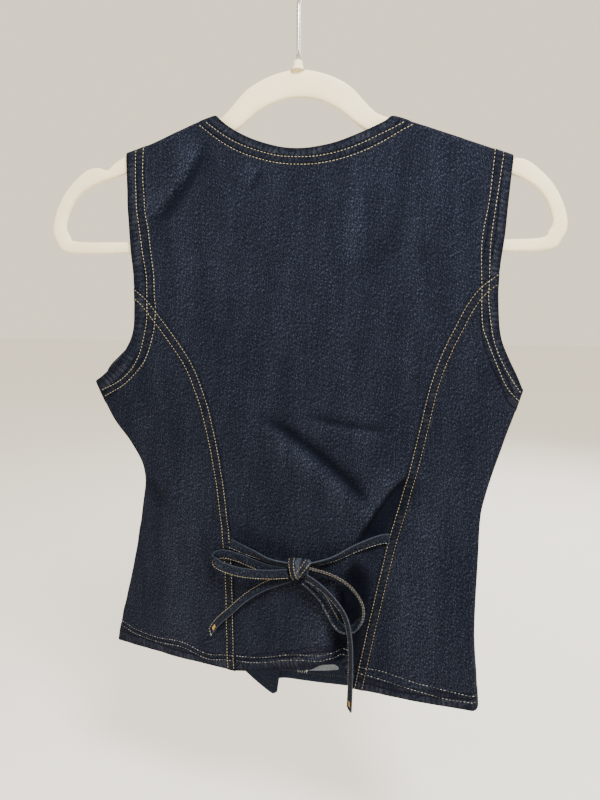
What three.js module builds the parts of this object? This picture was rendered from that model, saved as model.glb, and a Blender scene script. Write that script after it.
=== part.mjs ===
// A denim vest on a velvet-covered hanger: back and fronts with princess seams, and a waist tie in a bow.
// Millimetres, +Z up. +X is the wearer's left and +Y the wearer's back. The origin is the inside top of
// the hook. The cloth lies nearly flat, a back layer and a front layer with a hollow between them.
import * as THREE from 'three';

// Cloth
const wall = 1.4; // thickness of a panel
const seamGap = 0.3; // gap between neighbouring pieces
const seamRoll = 4; // how far from a side or shoulder seam the cloth rolls over to the other layer
const rollSteps = [60, 30, 0]; // degrees round that roll, from the open cloth to the seam
const openRoll = 1.5; // the same rows at an open edge, where nothing rolls over
const rollShare = 0.4; // most of a narrow panel's width that the roll takes up
const underarmZ = -362;
const backLayer = 1; // towards +Y
const frontLayer = -1;

// Hip twist: the lower part of the vest hangs turned about the vertical
const twistTopZ = -330;
const twistEndZ = -610;
const twistAngle = THREE.MathUtils.degToRad(12);

// Outline of the back, down each side. The armhole edge runs to the underarm, then the side seam.
const armholeLeft = [
  { z: -160, x: 152 }, { z: -209, x: 152 }, { z: -240, x: 150.5 }, { z: -275, x: 147.5 },
  { z: -300, x: 147.5 }, { z: -316, x: 149 }, { z: -328, x: 154 }, { z: -340, x: 163 },
  { z: -352, x: 176 }, { z: -362, x: 189 },
];
const armholeRight = [
  { z: -170, x: -174 }, { z: -200, x: -172 }, { z: -235, x: -170 }, { z: -266, x: -167 },
  { z: -300, x: -168 }, { z: -318, x: -171 }, { z: -335, x: -178 }, { z: -350, x: -186 },
  { z: -362, x: -191.5 },
];
const sideLeft = [
  { z: -362, x: 189 }, { z: -395, x: 176 }, { z: -418, x: 161.5 }, { z: -440, x: 151 },
  { z: -458, x: 150 }, { z: -494, x: 158 }, { z: -549, x: 173 }, { z: -606, x: 190 },
  { z: -645, x: 198 },
];
const sideRight = [
  { z: -362, x: -191.5 }, { z: -380, x: -186 }, { z: -404, x: -178 }, { z: -440, x: -167 },
  { z: -466, x: -161 }, { z: -500, x: -160 }, { z: -568, x: -160 }, { z: -610, x: -164 },
  { z: -645, x: -167 },
];

// Princess seams of the back, from the armhole to the hem
const princessLeft = [
  { z: -277, x: 146 }, { z: -286, x: 135 }, { z: -301, x: 122.5 }, { z: -320, x: 107.5 },
  { z: -339, x: 94.5 }, { z: -359, x: 85.5 }, { z: -386, x: 77.2 }, { z: -430, x: 69 },
  { z: -470, x: 64.2 }, { z: -512, x: 61 }, { z: -560, x: 58.3 }, { z: -645, x: 54.8 },
];
const princessRight = [
  { z: -264, x: -165.5 }, { z: -275, x: -151.5 }, { z: -289, x: -141 }, { z: -305, x: -133 },
  { z: -322, x: -125 }, { z: -340, x: -118 }, { z: -361, x: -112 }, { z: -400, x: -104.5 },
  { z: -457, x: -93 }, { z: -493, x: -84 }, { z: -554, x: -73 }, { z: -613, x: -63 },
  { z: -645, x: -56.5 },
];

// Princess seams of the fronts, the same way
const frontPrincessLeft = [
  { z: -277, x: 146 }, { z: -288, x: 132 }, { z: -305, x: 118 }, { z: -328, x: 105 }, { z: -355, x: 95 },
  { z: -390, x: 87 }, { z: -440, x: 80 }, { z: -490, x: 79 }, { z: -560, x: 83 }, { z: -660, x: 90 },
];
const frontPrincessRight = [
  { z: -264, x: -165.5 }, { z: -276, x: -151 }, { z: -292, x: -138 }, { z: -315, x: -124 },
  { z: -345, x: -112 }, { z: -385, x: -101 }, { z: -440, x: -89 }, { z: -490, x: -84 }, { z: -560, x: -82 },
  { z: -660, x: -86 },
];

// Top edge of the back, from the left shoulder corner over the neck to the right one.
// On a shoulder seam seam is 1, and on the open neck edge it is 0.
const backTop = [
  { x: 152, z: -160.5, seam: 1 }, { x: 138, z: -156, seam: 1 }, { x: 121, z: -150, seam: 1 },
  { x: 105, z: -143.5, seam: 1 }, { x: 89, z: -137.5, seam: 1 }, { x: 74, z: -133, seam: 1 },
  { x: 72, z: -133.5, seam: 0.35 }, { x: 69, z: -135.5, seam: 0 }, { x: 60, z: -142.5, seam: 0 },
  { x: 48, z: -149.5, seam: 0 }, { x: 35, z: -155, seam: 0 }, { x: 18, z: -160, seam: 0 },
  { x: 2, z: -162, seam: 0 }, { x: -14, z: -161, seam: 0 }, { x: -30, z: -158, seam: 0 },
  { x: -45, z: -153, seam: 0 }, { x: -59, z: -147.5, seam: 0 }, { x: -72.5, z: -141, seam: 0 },
  { x: -75.5, z: -138.5, seam: 0.35 }, { x: -78, z: -137.5, seam: 1 }, { x: -95, z: -143, seam: 1 },
  { x: -113, z: -149, seam: 1 }, { x: -132, z: -155.5, seam: 1 }, { x: -150, z: -161.7, seam: 1 },
  { x: -174, z: -170, seam: 1 },
];

// Hem of the back, lifted in the middle where the tie draws the cloth up
const backHem = [
  { x: 198, z: -636.5 }, { x: 150, z: -639 }, { x: 93, z: -641 }, { x: 58, z: -637.5 },
  { x: 35, z: -632.5 }, { x: 11, z: -625.5 }, { x: -12, z: -618.5 }, { x: -30, z: -611 },
  { x: -44, z: -611.5 }, { x: -57, z: -630 }, { x: -80, z: -634.5 }, { x: -125, z: -635.5 },
  { x: -167, z: -632.5 },
];

// How far each front's armhole edge stands out past the back's
const frontShows = [
  { z: -290, left: 0, right: 0 }, { z: -316, left: 3, right: 1 }, { z: -330, left: 7.5, right: 2.5 },
  { z: -346, left: 9.5, right: 3 }, { z: -362, left: 0, right: 0 },
];

// Inner edges of the fronts: the V of the neck, then the lapping front edge
const frontLeftInner = [
  { z: -133, x: 74 }, { z: -170, x: 62 }, { z: -220, x: 40 }, { z: -265, x: 14 }, { z: -296, x: -12 },
  { z: -310, x: -14 }, { z: -420, x: -8 }, { z: -520, x: 4 }, { z: -600, x: 17 }, { z: -680, x: 29 },
];
const frontRightInner = [
  { z: -137.5, x: -78 }, { z: -170, x: -67 }, { z: -220, x: -44 }, { z: -265, x: -18 },
  { z: -296, x: 8 }, { z: -310, x: 11 }, { z: -420, x: 17 }, { z: -520, x: 29 }, { z: -600, x: 42 },
  { z: -682, x: 54 },
];

// Hems of the fronts, each falling to a point beside the front edge
const frontLeftHem = [
  { x: 198, z: -636.5 }, { x: 150, z: -642 }, { x: 100, z: -651 }, { x: 66, z: -661 },
  { x: 46, z: -674.5 }, { x: 34, z: -681.5 }, { x: 29, z: -679 },
];
const frontRightHem = [
  { x: -167, z: -632.5 }, { x: -100, z: -645 }, { x: -47, z: -654 }, { x: 5, z: -660 },
  { x: 28, z: -664 }, { x: 46, z: -672 }, { x: 54, z: -670 },
];

// How far the two layers lie apart: back and front at the middle, edge at the sides
const depths = [
  { z: -125, back: 8, front: 7, edge: 4.6 }, { z: -165, back: 9, front: 7.5, edge: 4.6 },
  { z: -246, back: 11, front: 9, edge: 5.6 }, { z: -300, back: 14, front: 12, edge: 9 },
  { z: -340, back: 16, front: 14, edge: 10 }, { z: -362, back: 16, front: 15, edge: 7 },
  { z: -440, back: 15, front: 16, edge: 6 }, { z: -524, back: 13, front: 17, edge: 7 },
  { z: -600, back: 18, front: 20, edge: 9 }, { z: -690, back: 21, front: 22, edge: 10 },
];

const foldFade = 0.12; // share of the half width over which folds die out beside an edge
const foldEase = { past: 0.12, over: 0.35 }; // shares of its length over which a fold tapers at each end

// Largest folds of the back: a soft ridge (out above 0) or trough (below 0) from one end to the other,
// bowed sideways by bend
const backFolds = [
  { x0: 82, z0: -158, x1: 130, z1: -220, width: 7, out: 1.6, bend: 3 },
  { x0: 34, z0: -178, x1: 45, z1: -192, width: 6, out: -1.2, bend: 0 },
  { x0: -62, z0: -240, x1: -44, z1: -292, width: 14, out: 1.8, bend: 2 },
  { x0: 26, z0: -390, x1: -66, z1: -462, width: 8, out: 3.4, bend: 4 },
  { x0: 14, z0: -404, x1: -62, z1: -472, width: 8, out: -3, bend: 4 },
  { x0: -18, z0: -383, x1: -90, z1: -396, width: 7, out: 2, bend: -2 },
  { x0: -96, z0: -436, x1: -56, z1: -500, width: 9, out: -5, bend: -3 },
  { x0: -58, z0: -520, x1: -44, z1: -650, width: 10, out: -9, bend: -3 },
  { x0: -24, z0: -545, x1: -16, z1: -640, width: 12, out: 3, bend: 0 },
  { x0: 60, z0: -500, x1: 10, z1: -518, width: 10, out: -2.5, bend: 0 },
  { x0: 148, z0: -452, x1: 130, z1: -486, width: 9, out: -2.4, bend: 2 },
  { x0: 112, z0: -430, x1: 120, z1: -640, width: 20, out: 2, bend: 4 },
  { x0: -118, z0: -470, x1: -112, z1: -640, width: 20, out: 2.5, bend: -4 },
];
const frontFolds = [
  { x0: 96, z0: -350, x1: 40, z1: -400, width: 12, out: 2.5, bend: 3 },
  { x0: -98, z0: -352, x1: -36, z1: -412, width: 12, out: 2.5, bend: -3 },
  { x0: 130, z0: -462, x1: 80, z1: -480, width: 9, out: -2.4, bend: 2 },
  { x0: -138, z0: -470, x1: -84, z1: -492, width: 9, out: -2.4, bend: 2 },
  { x0: 104, z0: -500, x1: 112, z1: -650, width: 20, out: 2.5, bend: 3 },
  { x0: -84, z0: -510, x1: -92, z1: -650, width: 20, out: 2.5, bend: -3 },
];

// Rows and columns of the panels
const upperRows = 7; // rows from the shoulder to the princess seams
const armholeRows = 5; // rows from there to the underarm
const sideColumns = 6;
const frontColumns = 7;
const lowerRows = 16; // rows from the underarm to the hem, the same on both sides of a seam
const princessTurnZ = -350; // where the princess seams meet the underarm's row
const underarmRise = 5; // the last open row lies this far above the underarm
const hemEnd = { left: backHem[0].z, right: backHem[backHem.length - 1].z };
const princessHem = { left: 55, right: -57 }; // where those seams of the back reach the hem
const frontPrincessHem = { left: 89.5, right: -85.5 };
const shoulderSpan = { left: [74, 152], right: [-78, -174] }; // from the neck to the armhole
const seamTopWidth = 1.2; // a side panel starts this wide at the armhole

// Front closure: the right front laps over the left one
const lapWidth = 25;
const lapRise = wall + 0.5; // how far the lap stands off
const lapTopZ = -262; // where the lap begins
const lapFade = { across: 30, down: 20 }; // over which it comes to rise
const buttonCount = 5;
const buttonTopZ = -318;
const buttonPitch = 76;
const buttonRadius = 8.5;
const buttonHeight = 4.2;
const buttonShank = { radius: 3, height: 1.3 };

// Tie
const tieWidth = 9;
const tieThick = 2;
const tieBevel = 0.8; // along its folded edges
const knotSize = { x: 8.5, y: 7, z: 10 };
const knotPlace = { x: -8, z: -523, lift: 9 };
const knotSquareness = 0.72; // below 1 the knot fills out towards a box

// Stretches of the tie. Each row is a place on the back, its height off the cloth and its roll in degrees.
const strapLeft = [
  { x: 61.5, z: -510.5, lift: 2.4, roll: 0 }, { x: 50, z: -514, lift: 3, roll: 8 },
  { x: 36, z: -517.5, lift: 4, roll: 25 }, { x: 20, z: -521, lift: 6, roll: 45 },
  { x: 1.2, z: -521.5, lift: 8, roll: 50 },
];
const strapRight = [
  { x: -86, z: -490.5, lift: 2.4, roll: 0 }, { x: -77, z: -492, lift: 3.2, roll: -12 },
  { x: -58, z: -500.5, lift: 4.5, roll: -30 }, { x: -38, z: -512, lift: 6, roll: -48 },
  { x: -17.2, z: -519.5, lift: 8, roll: -52 },
];
const loopLeft = [
  { x: 1.2, z: -528.5, lift: 12.5, roll: 0 }, { x: 20, z: -532, lift: 12.5, roll: 0 },
  { x: 44, z: -533.5, lift: 13, roll: 4 }, { x: 64, z: -531.5, lift: 12.5, roll: 6 },
  { x: 74, z: -529, lift: 11, roll: 8 }, { x: 78.5, z: -526, lift: 8.5, roll: 8 },
  { x: 77, z: -523, lift: 6, roll: 8 }, { x: 68, z: -521.5, lift: 4, roll: 6 },
  { x: 52, z: -523.5, lift: 3.4, roll: 4 }, { x: 36, z: -527.5, lift: 4, roll: 0 },
  { x: 20, z: -530, lift: 6, roll: 0 }, { x: 1.4, z: -529.5, lift: 7.5, roll: 0 },
];
const loopRight = [
  { x: -17.2, z: -523, lift: 9, roll: 52 }, { x: -38, z: -527.5, lift: 8, roll: 52 },
  { x: -54, z: -536, lift: 7, roll: 55 }, { x: -64.5, z: -549, lift: 6.5, roll: 60 },
  { x: -65.5, z: -562, lift: 6.5, roll: 60 }, { x: -58, z: -573, lift: 6.5, roll: 60 },
  { x: -47, z: -573, lift: 6.5, roll: 60 }, { x: -38, z: -562, lift: 6.5, roll: 60 },
  { x: -30, z: -549, lift: 7, roll: 60 }, { x: -20, z: -539.5, lift: 8, roll: 58 },
  { x: -12.8, z: -534.4, lift: 8.5, roll: 55 },
];
const tailLeft = [
  { x: 1, z: -534.5, lift: 5, roll: 20 }, { x: 12, z: -540, lift: 4, roll: 25 },
  { x: 26, z: -547.5, lift: 3.6, roll: 30 }, { x: 43, z: -560, lift: 3.6, roll: 30 },
  { x: 60, z: -577, lift: 3.6, roll: 25 }, { x: 72, z: -589, lift: 3.4, roll: 20 },
  { x: 80, z: -600, lift: 3.4, roll: 20 },
];
const tailRight = [
  { x: -16, z: -528.5, lift: 14.5, roll: 30 }, { x: -28, z: -534, lift: 15.8, roll: 38 },
  { x: -42, z: -545, lift: 16, roll: 45 }, { x: -53, z: -559, lift: 15.6, roll: 50 },
  { x: -58, z: -578, lift: 14, roll: 55 }, { x: -59, z: -602, lift: 10, roll: 55 },
  { x: -58.5, z: -625, lift: 7, roll: 55 }, { x: -58, z: -647, lift: 6, roll: 55 },
];

// Armhole facing inside each front, where the underarm shows it
const facingWidth = 22;
const facingThick = 1;
const facingTopZ = -258;
const facingEndZ = -352;
const facingGap = 0.8; // it lies this far off the front's uneven inside
const facingInset = 0.6; // and this far in from its edge

// Hanger
const hangerThick = 5.5;
const hangerRounding = 0.55; // below 1 its section fills out towards a box
const hookX = 2.5; // the vest has slipped this far to the wearer's right along it
// Matched points of its outer and inner edge, from the top of the arch to the foot of the arm
const hangerArm = [
  { ox: 0, oz: -97, ix: 0, iz: -119.5 }, { ox: 20, oz: -100.5, ix: 16, iz: -121.5 },
  { ox: 34, oz: -106, ix: 29, iz: -127 }, { ox: 44.5, oz: -112.5, ix: 38, iz: -132.5 },
  { ox: 53, oz: -121, ix: 46, iz: -139 }, { ox: 60.5, oz: -129, ix: 54, iz: -145 },
  { ox: 68, oz: -134.6, ix: 64, iz: -150.5 }, { ox: 80.5, oz: -139, ix: 77, iz: -155.5 },
  { ox: 97.5, oz: -144.6, ix: 95, iz: -161.5 }, { ox: 118.5, oz: -151.7, ix: 116, iz: -168 },
  { ox: 134.5, oz: -157.2, ix: 133, iz: -172.5 }, { ox: 152.5, oz: -163.2, ix: 152, iz: -177.5 },
  { ox: 162, oz: -168.5, ix: 162, iz: -180.3 }, { ox: 169, oz: -174, ix: 169, iz: -182.5 },
  { ox: 179, oz: -171.7, ix: 177, iz: -185 }, { ox: 190, oz: -174.8, ix: 186, iz: -188.8 },
  { ox: 206, oz: -188.5, ix: 198, iz: -197 }, { ox: 217, oz: -205, ix: 206.5, iz: -209 },
  { ox: 222.5, oz: -223, ix: 210.5, iz: -222 }, { ox: 219.5, oz: -235, ix: 208, iz: -229.5 },
  { ox: 207, oz: -245.2, ix: 200, iz: -235.2 }, { ox: 150, oz: -246, ix: 150, iz: -236 },
  { ox: 75, oz: -246, ix: 75, iz: -236 },
];

// Hook
const wireRadius = 1.6;
const hookRadius = 19; // middle of the wire, round the rod
const hookNeckRadius = 16.5; // the bend between the stem and the round
const nubRadius = 3.8;
const nubHeight = 7;
const nubFlare = 1.4; // its foot spreads by this much
const hookTipDegrees = -15; // where the round ends, from level on the wearer's left

const lookOf = (color, roughness, metalness = 0) => (
  new THREE.MeshStandardMaterial({ color, roughness, metalness })
);
const denim = lookOf(0x1d2536, 0.85);
const denimSide = lookOf(0x202a3d, 0.85);
const denimInside = lookOf(0x2c3850, 0.9);
const tieCloth = lookOf(0x27324a, 0.85);
const velvet = lookOf(0xe9e0cd, 0.95);
const steel = lookOf(0xc4c8cc, 0.25, 1);
const brass = lookOf(0x9a7a48, 0.35, 1);

const vest = new THREE.Group();
vest.name = 'denim_vest_on_hanger';

const addPiece = (name, geometry, material) => {
  const mesh = new THREE.Mesh(geometry, material);
  mesh.name = name;
  vest.add(mesh);
  return mesh;
};

const lerp = THREE.MathUtils.lerp;
const clamp = THREE.MathUtils.clamp;
const soften = (t) => THREE.MathUtils.smoothstep(t, 0, 1);

// A table read as a smooth curve: the value named want where the value named by is at.
function read(rows, by, want, at) {
  const rising = rows[rows.length - 1][by] > rows[0][by] ? 1 : -1;
  let i = 0;
  while (i < rows.length - 2 && (rows[i + 1][by] - at) * rising < 0) i += 1;
  const slope = (k) => {
    const a = rows[Math.max(k - 1, 0)];
    const b = rows[Math.min(k + 1, rows.length - 1)];
    return (b[want] - a[want]) / (b[by] - a[by]);
  };
  const span = rows[i + 1][by] - rows[i][by];
  const t = clamp((at - rows[i][by]) / span, 0, 1);
  const t2 = t * t;
  const t3 = t2 * t;
  return (2 * t3 - 3 * t2 + 1) * rows[i][want] + (t3 - 2 * t2 + t) * span * slope(i)
    + (3 * t2 - 2 * t3) * rows[i + 1][want] + (t3 - t2) * span * slope(i + 1);
}

const sides = {
  left: { armhole: armholeLeft, side: sideLeft, princess: princessLeft, sign: 1 },
  right: { armhole: armholeRight, side: sideRight, princess: princessRight, sign: -1 },
};
const edgeX = (side, z) => read(z > underarmZ ? sides[side].armhole : sides[side].side, 'z', 'x', z);

function foldAt(folds, x, z) {
  let out = 0;
  for (const fold of folds) {
    const dx = fold.x1 - fold.x0;
    const dz = fold.z1 - fold.z0;
    const run = Math.hypot(dx, dz);
    const along = ((x - fold.x0) * dx + (z - fold.z0) * dz) / (run * run);
    const bow = 4 * fold.bend * clamp(along, 0, 1) * (1 - clamp(along, 0, 1));
    const across = ((x - fold.x0) * dz - (z - fold.z0) * dx) / run - bow;
    const taper = soften((along + foldEase.past) / foldEase.over)
      * soften((1 + foldEase.past - along) / foldEase.over);
    out += fold.out * taper * Math.exp(-((across / fold.width) ** 2));
  }
  return out;
}

// Height of a layer's mid-surface off the middle plane, above 0 on the back and below it on the front
function depthAt(layer, x, z, folded = true) {
  const left = edgeX('left', z);
  const right = edgeX('right', z);
  const across = clamp((2 * x - left - right) / (left - right), -1, 1);
  const edge = read(depths, 'z', 'edge', z);
  const middle = read(depths, 'z', layer > 0 ? 'back' : 'front', z);
  const fade = soften((1 - Math.abs(across)) / foldFade);
  const folds = folded ? foldAt(layer > 0 ? backFolds : frontFolds, x, z) * fade : 0;
  return layer * (edge + (middle - edge) * (1 - across * across) + folds);
}

// Turns a point or direction at height z with the hanging cloth
function twisted(v, z) {
  const turn = twistAngle * soften((twistTopZ - z) / (twistTopZ - twistEndZ));
  return v.applyAxisAngle(new THREE.Vector3(0, 0, 1), -turn);
}

// A point of the cloth, lift above its mid-surface, with its outward normal. turn is 1 on the open cloth
// and 0 on a seam, where the normal has come round to away.
function clothAt(layer, x, z, { turn = 1, away = new THREE.Vector3(), lift = 0, folded = true } = {}) {
  const step = 0.5;
  const height = (px, pz) => depthAt(layer, px, pz, folded);
  const slopeX = (height(x + step, z) - height(x - step, z)) / (2 * step);
  const slopeZ = (height(x, z + step) - height(x, z - step)) / (2 * step);
  const normal = new THREE.Vector3(-slopeX, 1, -slopeZ).multiplyScalar(layer).normalize();
  normal.multiplyScalar(turn).addScaledVector(away, Math.sqrt(Math.max(0, 1 - turn * turn))).normalize();
  const seamY = layer * seamGap / 2;
  const point = new THREE.Vector3(x, seamY + (height(x, z) - seamY) * turn, z);
  point.addScaledVector(normal, lift);
  return { point: twisted(point, z), normal: twisted(normal, z) };
}

// A closed wall from a grid of points and normals: grid[i][j], i across and j down.
function wallFrom(grid, thick) {
  const across = grid.length;
  const down = grid[0].length;
  const positions = [];
  for (const face of [1, -1]) {
    for (let i = 0; i < across; i += 1) {
      for (let j = 0; j < down; j += 1) {
        const { point, normal } = grid[i][j];
        const p = point.clone().addScaledVector(normal, face * thick / 2);
        positions.push(p.x, p.y, p.z);
      }
    }
  }
  const middle = grid[across >> 1][down >> 1];
  const next = grid[(across >> 1) - 1][down >> 1].point.clone().sub(middle.point);
  const below = grid[across >> 1][(down >> 1) + 1].point.clone().sub(middle.point);
  const flip = next.cross(below).dot(middle.normal) < 0;
  const indices = [];
  const at = (face, i, j) => face * across * down + i * down + j;
  const quad = (a, b, c, d) => {
    indices.push(...(flip ? [a, c, b, a, d, c] : [a, b, c, a, c, d]));
  };
  for (let i = 0; i < across - 1; i += 1) {
    for (let j = 0; j < down - 1; j += 1) {
      quad(at(0, i + 1, j), at(0, i, j), at(0, i, j + 1), at(0, i + 1, j + 1));
      quad(at(1, i, j), at(1, i + 1, j), at(1, i + 1, j + 1), at(1, i, j + 1));
    }
    quad(at(0, i, 0), at(0, i + 1, 0), at(1, i + 1, 0), at(1, i, 0));
    quad(at(0, i + 1, down - 1), at(0, i, down - 1), at(1, i, down - 1), at(1, i + 1, down - 1));
  }
  for (let j = 0; j < down - 1; j += 1) {
    quad(at(0, 0, j + 1), at(0, 0, j), at(1, 0, j), at(1, 0, j + 1));
    quad(at(0, across - 1, j), at(0, across - 1, j + 1), at(1, across - 1, j + 1), at(1, across - 1, j));
  }
  const geometry = new THREE.BufferGeometry();
  geometry.setAttribute('position', new THREE.Float32BufferAttribute(positions, 3));
  geometry.setIndex(indices);
  geometry.computeVertexNormals();
  return geometry;
}

const sine = (degrees) => Math.sin(THREE.MathUtils.degToRad(degrees));
const cosine = (degrees) => Math.cos(THREE.MathUtils.degToRad(degrees));
const spread = (count) => Array.from({ length: count + 1 }, (_, k) => k / count);
const level = (a, b) => (s) => lerp(a, b, s);

// Columns across a panel: s is 0 at its inner edge and 1 at its outer one, and a side seam adds its roll.
const openColumns = (count) => spread(count).map((s) => ({ s, roll: 90 }));
const rolledColumns = (count) => openColumns(count).concat(rollSteps.map((roll) => ({ s: 1, roll })));

// Rows down a panel: even steps between its levels, each a height from the inner to the outer edge
function rowsBetween(levels, counts, topRolls) {
  const rolls = topRolls ? rollSteps.slice().reverse() : [];
  const rows = rolls.map((roll) => ({ zAt: (s) => levels[0](s) + seamRoll * cosine(roll), roll }));
  const first = rows.length;
  counts.forEach((count, k) => {
    for (const t of spread(count).slice(k > 0 ? 1 : 0)) {
      rows.push({ zAt: (s) => lerp(levels[k](s), levels[k + 1](s), t), roll: 90 });
    }
  });
  rows.slice(0, first).forEach((row) => { row.edgeRow = rows[first]; });
  return rows;
}

// A panel's grid of points and normals
function panelGrid({
  layer, columns, rows, innerX, outerX, sideSign = 0, seamAt = () => 1, liftAt = () => 0,
}) {
  return columns.map(({ s, roll }) => rows.map((row) => {
    const edges = row.edgeRow ?? row;
    const inner = innerX(edges.zAt(0));
    const outer = outerX(edges.zAt(1));
    const closed = sideSign !== 0 && edges.zAt(1) <= underarmZ + 0.01;
    const widest = Math.abs(outer - inner) * rollShare;
    const rollWidth = sideSign === 0 ? 0 : Math.min(closed ? seamRoll : openRoll, widest);
    const flat = outer - sideSign * rollWidth;
    const x = roll < 90 ? outer - sideSign * rollWidth * (1 - cosine(roll)) : lerp(inner, flat, s);
    const z = row.zAt(s);
    const sideTurn = closed ? sine(roll) : 1;
    const topTurn = 1 - seamAt(s) * (1 - sine(row.roll));
    const away = new THREE.Vector3(sideSign * (1 - sideTurn), 0, 1 - topTurn);
    if (away.lengthSq() > 0) away.normalize();
    return clothAt(layer, x, z, { turn: sideTurn * topTurn, away, lift: liftAt(x, z) });
  }));
}

// Outer boundary of a middle panel: the armhole edge, then the princess seam
function middleEdgeX(side, princess) {
  const { sign } = sides[side];
  return (z) => {
    if (z > princess[0].z + 0.01) return edgeX(side, z);
    return read(princess, 'z', 'x', z) - sign * seamGap / 2;
  };
}

// The back's middle panel, from shoulder to shoulder, a column to each row of its top edge
function backCentre() {
  const span = backTop[0].x - backTop[backTop.length - 1].x;
  const columns = backTop.map(({ x }) => ({ s: (backTop[0].x - x) / span, roll: 90 }));
  const xAt = (s) => backTop[0].x - s * span;
  const hemX = (s) => lerp(princessHem.left, princessHem.right, s);
  const levels = [
    (s) => read(backTop, 'x', 'z', xAt(s)) - seamRoll,
    level(princessLeft[0].z, princessRight[0].z),
    level(princessTurnZ + underarmRise, princessTurnZ + underarmRise),
    level(princessTurnZ, princessTurnZ),
    (s) => read(backHem, 'x', 'z', hemX(s)),
  ];
  return panelGrid({
    layer: backLayer,
    columns,
    rows: rowsBetween(levels, [upperRows, armholeRows, 1, lowerRows], true),
    innerX: middleEdgeX('left', princessLeft),
    outerX: middleEdgeX('right', princessRight),
    seamAt: (s) => clamp(read(backTop, 'x', 'seam', xAt(s)), 0, 1),
  });
}

// A front's armhole edge and side seam
function frontEdgeX(side, z) {
  const shows = z > underarmZ ? read(frontShows, 'z', side, z) : 0;
  return edgeX(side, z) + sides[side].sign * shows;
}

// A side panel, from its princess seam to the armhole edge and side seam
function sidePanel(side, { layer, princess, hem, hemX, outerX }) {
  const { sign } = sides[side];
  const levels = [
    level(princess[0].z, princess[0].z),
    level(princessTurnZ + underarmRise, underarmZ + underarmRise),
    level(princessTurnZ, underarmZ),
    level(read(hem, 'x', 'z', hemX), hemEnd[side]),
  ];
  const seamX = (z) => read(princess, 'z', 'x', z) + sign * seamGap / 2;
  return panelGrid({
    layer,
    columns: rolledColumns(sideColumns),
    rows: rowsBetween(levels, [armholeRows, 1, lowerRows], false),
    innerX: (z) => (z > princess[0].z - 0.01 ? edgeX(side, z) - sign * seamTopWidth : seamX(z)),
    outerX: (z) => outerX(side, z),
    sideSign: sign,
  });
}

const backSide = (side) => sidePanel(side, {
  layer: backLayer,
  princess: sides[side].princess,
  hem: backHem,
  hemX: princessHem[side],
  outerX: edgeX,
});

const frontCuts = {
  left: { princess: frontPrincessLeft, hem: frontLeftHem, inner: frontLeftInner },
  right: { princess: frontPrincessRight, hem: frontRightHem, inner: frontRightInner },
};
const frontSide = (side) => sidePanel(side, {
  layer: frontLayer,
  princess: frontCuts[side].princess,
  hem: frontCuts[side].hem,
  hemX: frontPrincessHem[side],
  outerX: frontEdgeX,
});

// The lapping front stands off the other beside its inner edge
function lapLift(x, z) {
  const inside = read(frontRightInner, 'z', 'x', z) - x;
  const across = 1 - soften((inside - lapWidth) / lapFade.across);
  return lapRise * across * soften((lapTopZ - z) / lapFade.down);
}

// A front, from its inner edge to the armhole and princess seam
function frontMiddle(side) {
  const { princess, hem, inner } = frontCuts[side];
  const shoulderX = level(...shoulderSpan[side]);
  const hemX = level(hem[hem.length - 1].x, frontPrincessHem[side]);
  const levels = [
    (s) => read(backTop, 'x', 'z', shoulderX(s)) - seamRoll,
    level(princess[0].z, princess[0].z),
    level(princessTurnZ + underarmRise, princessTurnZ + underarmRise),
    level(princessTurnZ, princessTurnZ),
    (s) => read(hem, 'x', 'z', hemX(s)),
  ];
  return panelGrid({
    layer: frontLayer,
    columns: openColumns(frontColumns),
    rows: rowsBetween(levels, [upperRows, armholeRows, 1, lowerRows], true),
    innerX: (z) => read(inner, 'z', 'x', z),
    outerX: middleEdgeX(side, princess),
    liftAt: side === 'right' ? lapLift : undefined,
  });
}

// Facing turned to the inside of a front's armhole
function armholeFacing(side) {
  const { sign } = sides[side];
  const edge = (z) => frontEdgeX(side, z) - sign * facingInset;
  return panelGrid({
    layer: frontLayer,
    columns: openColumns(3),
    rows: rowsBetween([level(facingTopZ, facingTopZ), level(facingEndZ, facingEndZ)], [9], false),
    innerX: (z) => edge(z) - sign * facingWidth,
    outerX: edge,
    liftAt: () => -(wall / 2 + facingGap + facingThick / 2),
  });
}

addPiece('back_centre', wallFrom(backCentre(), wall), denim);
addPiece('back_side_left', wallFrom(backSide('left'), wall), denimSide);
addPiece('back_side_right', wallFrom(backSide('right'), wall), denimSide);
addPiece('front_left', wallFrom(frontMiddle('left'), wall), denim);
addPiece('front_right', wallFrom(frontMiddle('right'), wall), denim);
addPiece('front_side_left', wallFrom(frontSide('left'), wall), denimSide);
addPiece('front_side_right', wallFrom(frontSide('right'), wall), denimSide);
addPiece('armhole_facing_left', wallFrom(armholeFacing('left'), facingThick), denimInside);
addPiece('armhole_facing_right', wallFrom(armholeFacing('right'), facingThick), denimInside);

// Shank buttons down the front closure
function buttonGeometry() {
  const { radius, height } = buttonShank;
  const bevel = 0.8;
  const dome = 0.2;
  const profile = [
    [0, 0], [radius, 0], [radius, height], [buttonRadius - bevel, height], [buttonRadius, height + bevel],
    [buttonRadius, buttonHeight - bevel - dome], [buttonRadius - bevel, buttonHeight - dome],
    [buttonRadius / 2, buttonHeight], [0, buttonHeight],
  ].map(([r, h]) => new THREE.Vector2(r, h));
  return new THREE.LatheGeometry(profile, 14);
}
for (let k = 0; k < buttonCount; k += 1) {
  const z = buttonTopZ - k * buttonPitch;
  const x = read(frontRightInner, 'z', 'x', z) - lapWidth / 2;
  const lift = lapLift(x, z) + wall / 2 + seamGap;
  const seat = clothAt(frontLayer, x, z, { lift });
  const button = addPiece(`button_${k + 1}`, buttonGeometry(), brass);
  button.position.copy(seat.point);
  button.quaternion.setFromUnitVectors(new THREE.Vector3(0, 1, 0), seat.normal);
}

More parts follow.
